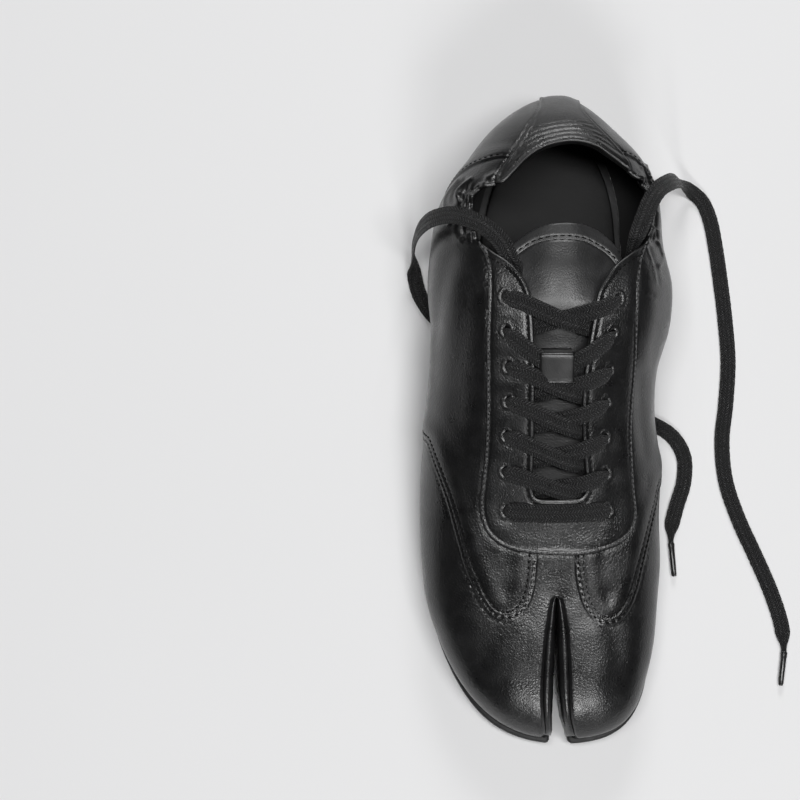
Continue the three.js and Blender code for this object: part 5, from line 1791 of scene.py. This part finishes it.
@dataclass
class Tongue:
    """The padded tongue with its folded top edge and the keeper."""

    shell: Shell
    drop: float = 4.0
    thickness: float = 2.0
    keeper_thickness: float = 1.2
    # the keeper's middle line: y, and the height over the last
    keeper_rows: tuple = (
        (-22.4, -5.2), (-21.9, -4.6), (-21.6, -2.6), (-21.3, -0.4), (-20.9, 2.0), (-20.0, 3.0),
        (-18.6, 3.15), (-16, 2.8), (-13, 2.5), (-10.4, 2.3), (-8.6, 2.1), (-7.9, 0.2),
        (-7.5, -2.8), (-6.8, -5.2),
    )
    outline: tuple = (
        (24.0, 40.0), (25.5, 20.0), (25.0, 0.0), (24.5, -20.0), (25.0, -40.0), (24.5, -52.0),
        (22.0, -61.5), (17.4, -68.2), (9.3, -73.6), (3.0, -75.8), (-3.4, -76.6), (-10.0, -76.6),
        (-16.0, -75.6), (-22.6, -73.0), (-28.6, -68.6), (-32.0, -61.5), (-33.5, -52.0),
        (-33.0, -40.0), (-31.0, -20.0), (-29.5, 0.0), (-29.5, 20.0), (-29.0, 40.0), (-18.0, 47.0),
        (-2.0, 48.5), (14.0, 47.0),
    )
    seam: tuple = (
        (22.5, -58.5), (15.7, -64.6), (9.4, -68.4), (3.0, -70.0), (-3.3, -70.5), (-10.0, -70.3),
        (-15.9, -69.4), (-25.1, -65.0), (-31.0, -58.5),
    )

    def surface(self, plan: np.ndarray) -> tuple[np.ndarray, np.ndarray]:
        """Returns the tongue's face above plan points and its direction there."""
        base, normal = self.shell.last.stand(self.shell.last.flat(plan))
        away, _ = Seam(smooth_line(np.array(self.seam, float), 1.0)).nearest(plan, 12)
        x, y = plan[:, 0] + 4.0, plan[:, 1]
        height = 0.9 * ease(-away, 0.2, 1.6) * known(away)
        height -= 0.45 * bell(away - 0.2, 0.5)
        height -= 1.7 * ease(-y, 40, 54) * ease(np.abs(x), 3, 21)
        height -= 3.6 * ease(y, -44, -19)
        height += 0.8 * bell(x, 13.0) * ease(-y, -20, 20)
        height -= 1.5 * ease(-y, 56, 74)
        return base + normal * (height - self.drop)[:, None], normal

    def edge(self, ring: np.ndarray) -> tuple[np.ndarray, list]:
        """Rolls the tongue's edge round from its face to its back."""
        top, normal = self.surface(ring)
        outward = unit(np.cross(ring_way(top), normal))
        if ((top - top.mean(axis=0)) * outward).sum() < 0:
            outward = -outward
        turn = np.linspace(0, math.pi, 7)
        r = self.thickness / 2
        roll = (
            top[:, None, :] + outward[:, None, :] * (np.sin(turn) * r)[None, :, None]
            - normal[:, None, :] * ((1 - np.cos(turn)) * r)[None, :, None]
        )
        return roll.reshape(-1, 3), quads(len(ring), len(turn), round_rows=True)

    def build(self, wardrobe: Wardrobe) -> None:
        """Makes the tongue, its stitches and the keeper."""
        ring = smooth_line(np.array(self.outline, float), 0.7, True)
        seam = Seam(smooth_line(np.array(self.seam, float), 0.7))
        loose = lattice(ring.min(axis=0), ring.max(axis=0), 0.9)
        near, _ = seam.nearest(loose, 3)
        edge, _ = Seam(ring, True).nearest(loose, 2)
        loose = loose[(np.abs(near) > 1.5) & (np.abs(edge) > 0.6)]
        rows = [seam.beside(offset, 0.6)[0] for offset in (-1.0, -0.5, 0.5, 1.1, 1.6)]
        flat, faces = triangulate([(ring, True), (seam.line, False)], np.vstack([loose] + rows))
        faces = faces[Seam(ring, True).holds(flat[faces].mean(axis=1))]
        top, normal = self.surface(flat)
        under = top - normal * self.thickness
        points, faces = joined([
            (top, faces.tolist()), (under, faces[:, ::-1].tolist()), self.edge(ring)
        ])
        made = piece("tongue_leather", points, faces, wardrobe.tongue, Slot.UPPER, ("tongue",))
        weld(made, 0.03)
        at, way = seam.beside(-0.9, 2.9, 2, 2)
        top, up = self.surface(at)
        forward = self.surface(at + way * 0.5)[0] - top
        stitches = stitch_row(top + up * 0.3, forward, up, 2.1, 0.62)
        piece("tongue_stitches", *stitches, wardrobe.dark_thread, Slot.UPPER)
        self.keeper(wardrobe)

    def keeper(self, wardrobe: Wardrobe) -> None:
        """Bends the keeper over the crossing lace and down at both ends."""
        rows, count = np.array(self.keeper_rows, float), len(self.keeper_rows)
        y, h = (Column(np.arange(count), rows[:, k])(np.linspace(0, count - 1, 60)) for k in (0, 1))
        across = np.linspace(-1, 1, 17)
        plan = np.stack(np.meshgrid(-1.5 + 6.9 * across, y, indexing="xy"), axis=-1)
        base, normal = self.shell.last.stand(self.shell.last.flat(plan.reshape(-1, 2)))
        height = np.repeat(h, len(across)) - 0.25 * np.tile(np.abs(across) ** 6, len(h))
        grid = (base + normal * height[:, None]).reshape(len(h), len(across), 3)
        slope = unit(np.cross(np.gradient(grid, axis=1), np.gradient(grid, axis=0)))
        slope *= np.sign(slope[..., 2:3].mean())
        under = grid - slope * self.keeper_thickness
        side = np.array([0.25, 0, 0])
        left = (grid[:, :1] + under[:, :1]) / 2 - side
        right = (grid[:, -1:] + under[:, -1:]) / 2 + side
        loop = np.concatenate([grid, right, under[:, ::-1], left], axis=1)
        *walls, start, end = tube(*loop.shape[:2])
        made = piece(
            "tongue_keeper_leather", loop.reshape(-1, 3), walls + [start[::-1], end[::-1]],
            wardrobe.edge, Slot.UPPER, ("tongue_keeper",),
        )
        weld(made, 0.001)


@dataclass
class Bottom:
    """The split rubber sole and the insole inside the shoe.

    The tables run along the slit: y with the middle line's x, and y with half the gap.
    """

    notch: float = 79.0
    middle: tuple = ((79, -2.7), (118, -2.7), (130, -3.35), (136, -4.5), (142, -4.9))
    gap: tuple = (
        (79.0, 0.1), (88.0, 0.7), (100.0, 0.9), (112.0, 1.1), (120.0, 1.5), (130.0, 2.4),
        (136.0, 3.4), (142.0, 4.2),
    )
    # where the tread's grooves cross the sole, as shares of its length
    grooves: tuple = (0.1, 0.14, 0.18, 0.6, 0.635, 0.67, 0.705, 0.74, 0.775)
    # the layers' sides: how far in and how far up, from 0 to 1
    sole_side: tuple = (
        (1.3, 0.0), (0.5, 0.03), (0.1, 0.12), (0.0, 0.3), (0.0, 0.62), (0.12, 0.82), (0.45, 0.95),
        (1.0, 1.0),
    )
    bed_side: tuple = ((0.5, 0.0), (0.0, 0.3), (0.0, 0.8), (0.3, 0.95), (0.8, 1.0))

    def slit(self, y: np.ndarray, more: float) -> tuple[np.ndarray, np.ndarray]:
        """Returns the x of the slit's lateral and medial walls at y."""
        middle = np.interp(y, *np.array(self.middle).T)
        gap = np.interp(y, *np.array(self.gap).T) + more
        return middle + gap, middle - gap

    def ring(self, inset: float, slit_more: float, step: float) -> np.ndarray:
        """Draws the plan outline with the slit cut into its toe.

        Args:
            inset: How far it is moved in.
            slit_more: How much further each of the slit's walls stands back.
            step: The way from point to point.

        Returns:
            The even ring.
        """
        middle, y, right_half, left_half = footprint(spread(260), inset)
        right = np.stack([middle + right_half, y], axis=1)
        left = np.stack([middle - left_half, y], axis=1)
        right_wall, left_wall = self.slit(y, slit_more)
        right = right[~((y > 130) & (right[:, 0] < right_wall))]
        left = left[~((y > 130) & (left[:, 0] > left_wall))]
        end = min(right[:, 1].max(), left[:, 1].max())
        cut = np.linspace(end, self.notch - slit_more * 0.5, 60)
        right_wall, left_wall = (np.stack([x, cut], axis=1) for x in self.slit(cut, slit_more))
        line = np.vstack([right, right_wall[1:], left_wall[::-1][:-1], left[::-1][:-1]])
        apart = np.linalg.norm(np.diff(line, axis=0), axis=1) > 0.05
        line = line[np.concatenate([[True], apart])]
        run = run_of(line)
        return read_line(line, run, np.linspace(0, run[-1], int(run[-1] / step) + 1))[:-1]

    def slab(
        self, ring: np.ndarray, profile: tuple, top: Callable, bottom: Callable, step: float
    ) -> tuple[np.ndarray, list]:
        """Builds a layer between two surfaces.

        Args:
            ring: The plan outline.
            profile: The table of its side.
            top: The top surface's height at y.
            bottom: The bottom surface's height at y.
            step: The fineness of the two faces.

        Returns:
            The points and faces.
        """
        outward = right_of(ring_way(ring))
        after = np.roll(ring, -1, axis=0)
        area = 0.5 * (ring[:, 0] * after[:, 1] - after[:, 0] * ring[:, 1]).sum()
        outward *= 1 if area > 0 else -1
        rows = []
        for inset, level in profile:
            plan = ring - outward * inset
            low, high = bottom(plan[:, 1]), top(plan[:, 1])
            rows.append(np.column_stack([plan, low + (high - low) * level]))
        side = np.stack(rows, axis=1)
        parts = [(side.reshape(-1, 3), quads(len(ring), len(profile), round_rows=True))]
        for row, height in ((rows[0], bottom), (rows[-1], top)):
            edge = row[:, :2]
            loose = lattice(edge.min(axis=0), edge.max(axis=0), step)
            away, _ = Seam(edge, True).nearest(loose, 2)
            flat, faces = triangulate([(edge, True)], loose[np.abs(away) > step * 0.4])
            kept = faces[Seam(edge, True).holds(flat[faces].mean(axis=1))]
            parts.append((np.column_stack([flat, height(flat[:, 1])]), kept.tolist()))
        return joined(parts)

    def tread(self, y: np.ndarray) -> np.ndarray:
        """Returns the height of the sole's underside with its tread."""
        at = (y - HEEL_Y - SOLE_TUCK) / SOLE_LENGTH
        band = np.max([bell((at - middle) * SOLE_LENGTH, 0.9) for middle in self.grooves], axis=0)
        return sole_bottom(y) + 1.1 * band

    def bed_top(self, y: np.ndarray) -> np.ndarray:
        """Returns the height of the insole's top."""
        return sole_top(y) + 3.2

    def bed_bottom(self, y: np.ndarray) -> np.ndarray:
        """Returns the height of the insole's underside."""
        return sole_top(y) + 0.2

    def build(self, wardrobe: Wardrobe) -> None:
        """Makes the sole and the insole."""
        ring = self.ring(0.0, 0.0, 1.2)
        sole = self.slab(ring, self.sole_side, sole_top, self.tread, 1.5)
        made = piece("outsole_rubber", *sole, wardrobe.rubber, Slot.SOLE, ("outsole",))
        weld(made, 0.01)
        ring = self.ring(SOLE_EDGE + 2.7, 2.6, 1.6)
        bed = self.slab(ring, self.bed_side, self.bed_top, self.bed_bottom, 3.0)
        made = piece("insole_cloth", *bed, wardrobe.insole, Slot.LINING, ("insole",))
        weld(made, 0.01)


@dataclass
class Stitching:
    """Every row of stitches on the leather."""

    shell: Shell
    eyestay_pitch: float = 2.3
    lobe_pitch: float = 2.6

    def sew(self, row: tuple, length: float, thick: float, panel: Panel = None) -> tuple:
        """Sews one row.

        Args:
            row: The row's seam, offset, free start, free end and pitch.
            length: The length of a stitch.
            thick: The thread's thickness.
            panel: A panel that the row leaves free.

        Returns:
            The row's points and faces.
        """
        at, way, up, flat = self.shell.row(*row)
        out = np.ones(len(flat), bool) if panel is None else ~self.shell.inside(flat, panel)
        return stitch_row(at[out], way[out], up[out], length, thick)

    def build(self, wardrobe: Wardrobe) -> None:
        """Sews the rows."""
        shell = self.shell
        at, way, up, flat = shell.row("opening", -2.0, 0.5, 0.5, 2.5)
        kept = shell.inside(flat, Panel.EYESTAY)
        dark = [stitch_row(at[kept], way[kept], up[kept], 1.8, 0.62)]
        light = [self.sew(("eyestay", 0.9, 4, 4, self.eyestay_pitch), 1.6, 0.75)]
        at, way, up, flat = shell.row("opening", -1.5, 0.5, 0.5, 1.7)
        kept = shell.gathers(flat) > 0.3
        light.append(stitch_row(at[kept], way[kept], up[kept], 1.1, 0.5))
        for seam in ("lobe_lateral", "lobe_medial"):
            for offset, thick in ((-1.2, 0.8), (1.2, 0.4)):
                row = (seam, offset, 1.5, 1, self.lobe_pitch)
                dark.append(self.sew(row, 1.75, thick, Panel.EYESTAY))
        for seam, offset in (("counter_lateral", -1.2), ("counter_medial", 1.2)):
            dark.append(self.sew((seam, offset, 3, 1, 2.9), 2.0, 0.6, Panel.HEEL_STRIP))
        piece("eyestay_stitches", *joined(light), wardrobe.thread, Slot.UPPER)
        piece("seam_stitches", *joined(dark), wardrobe.dark_thread, Slot.UPPER)


def main() -> None:
    """Dresses the shoe."""
    logging.basicConfig(level=logging.INFO, format="%(message)s")
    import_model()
    studio = Studio()
    studio.set_camera()
    wardrobe = Wardrobe()
    LaceEnds().build(wardrobe)
    last = Last()
    shell = Shell(last)
    shell.build(wardrobe)
    Lacing(last).build(wardrobe)
    Gusset(shell).build(wardrobe)
    Tongue(shell).build(wardrobe)
    Bottom().build(wardrobe)
    Stitching(shell).build(wardrobe)
    studio.lay_floor()
    studio.set_lights()


if __name__ == "__main__":
    main()
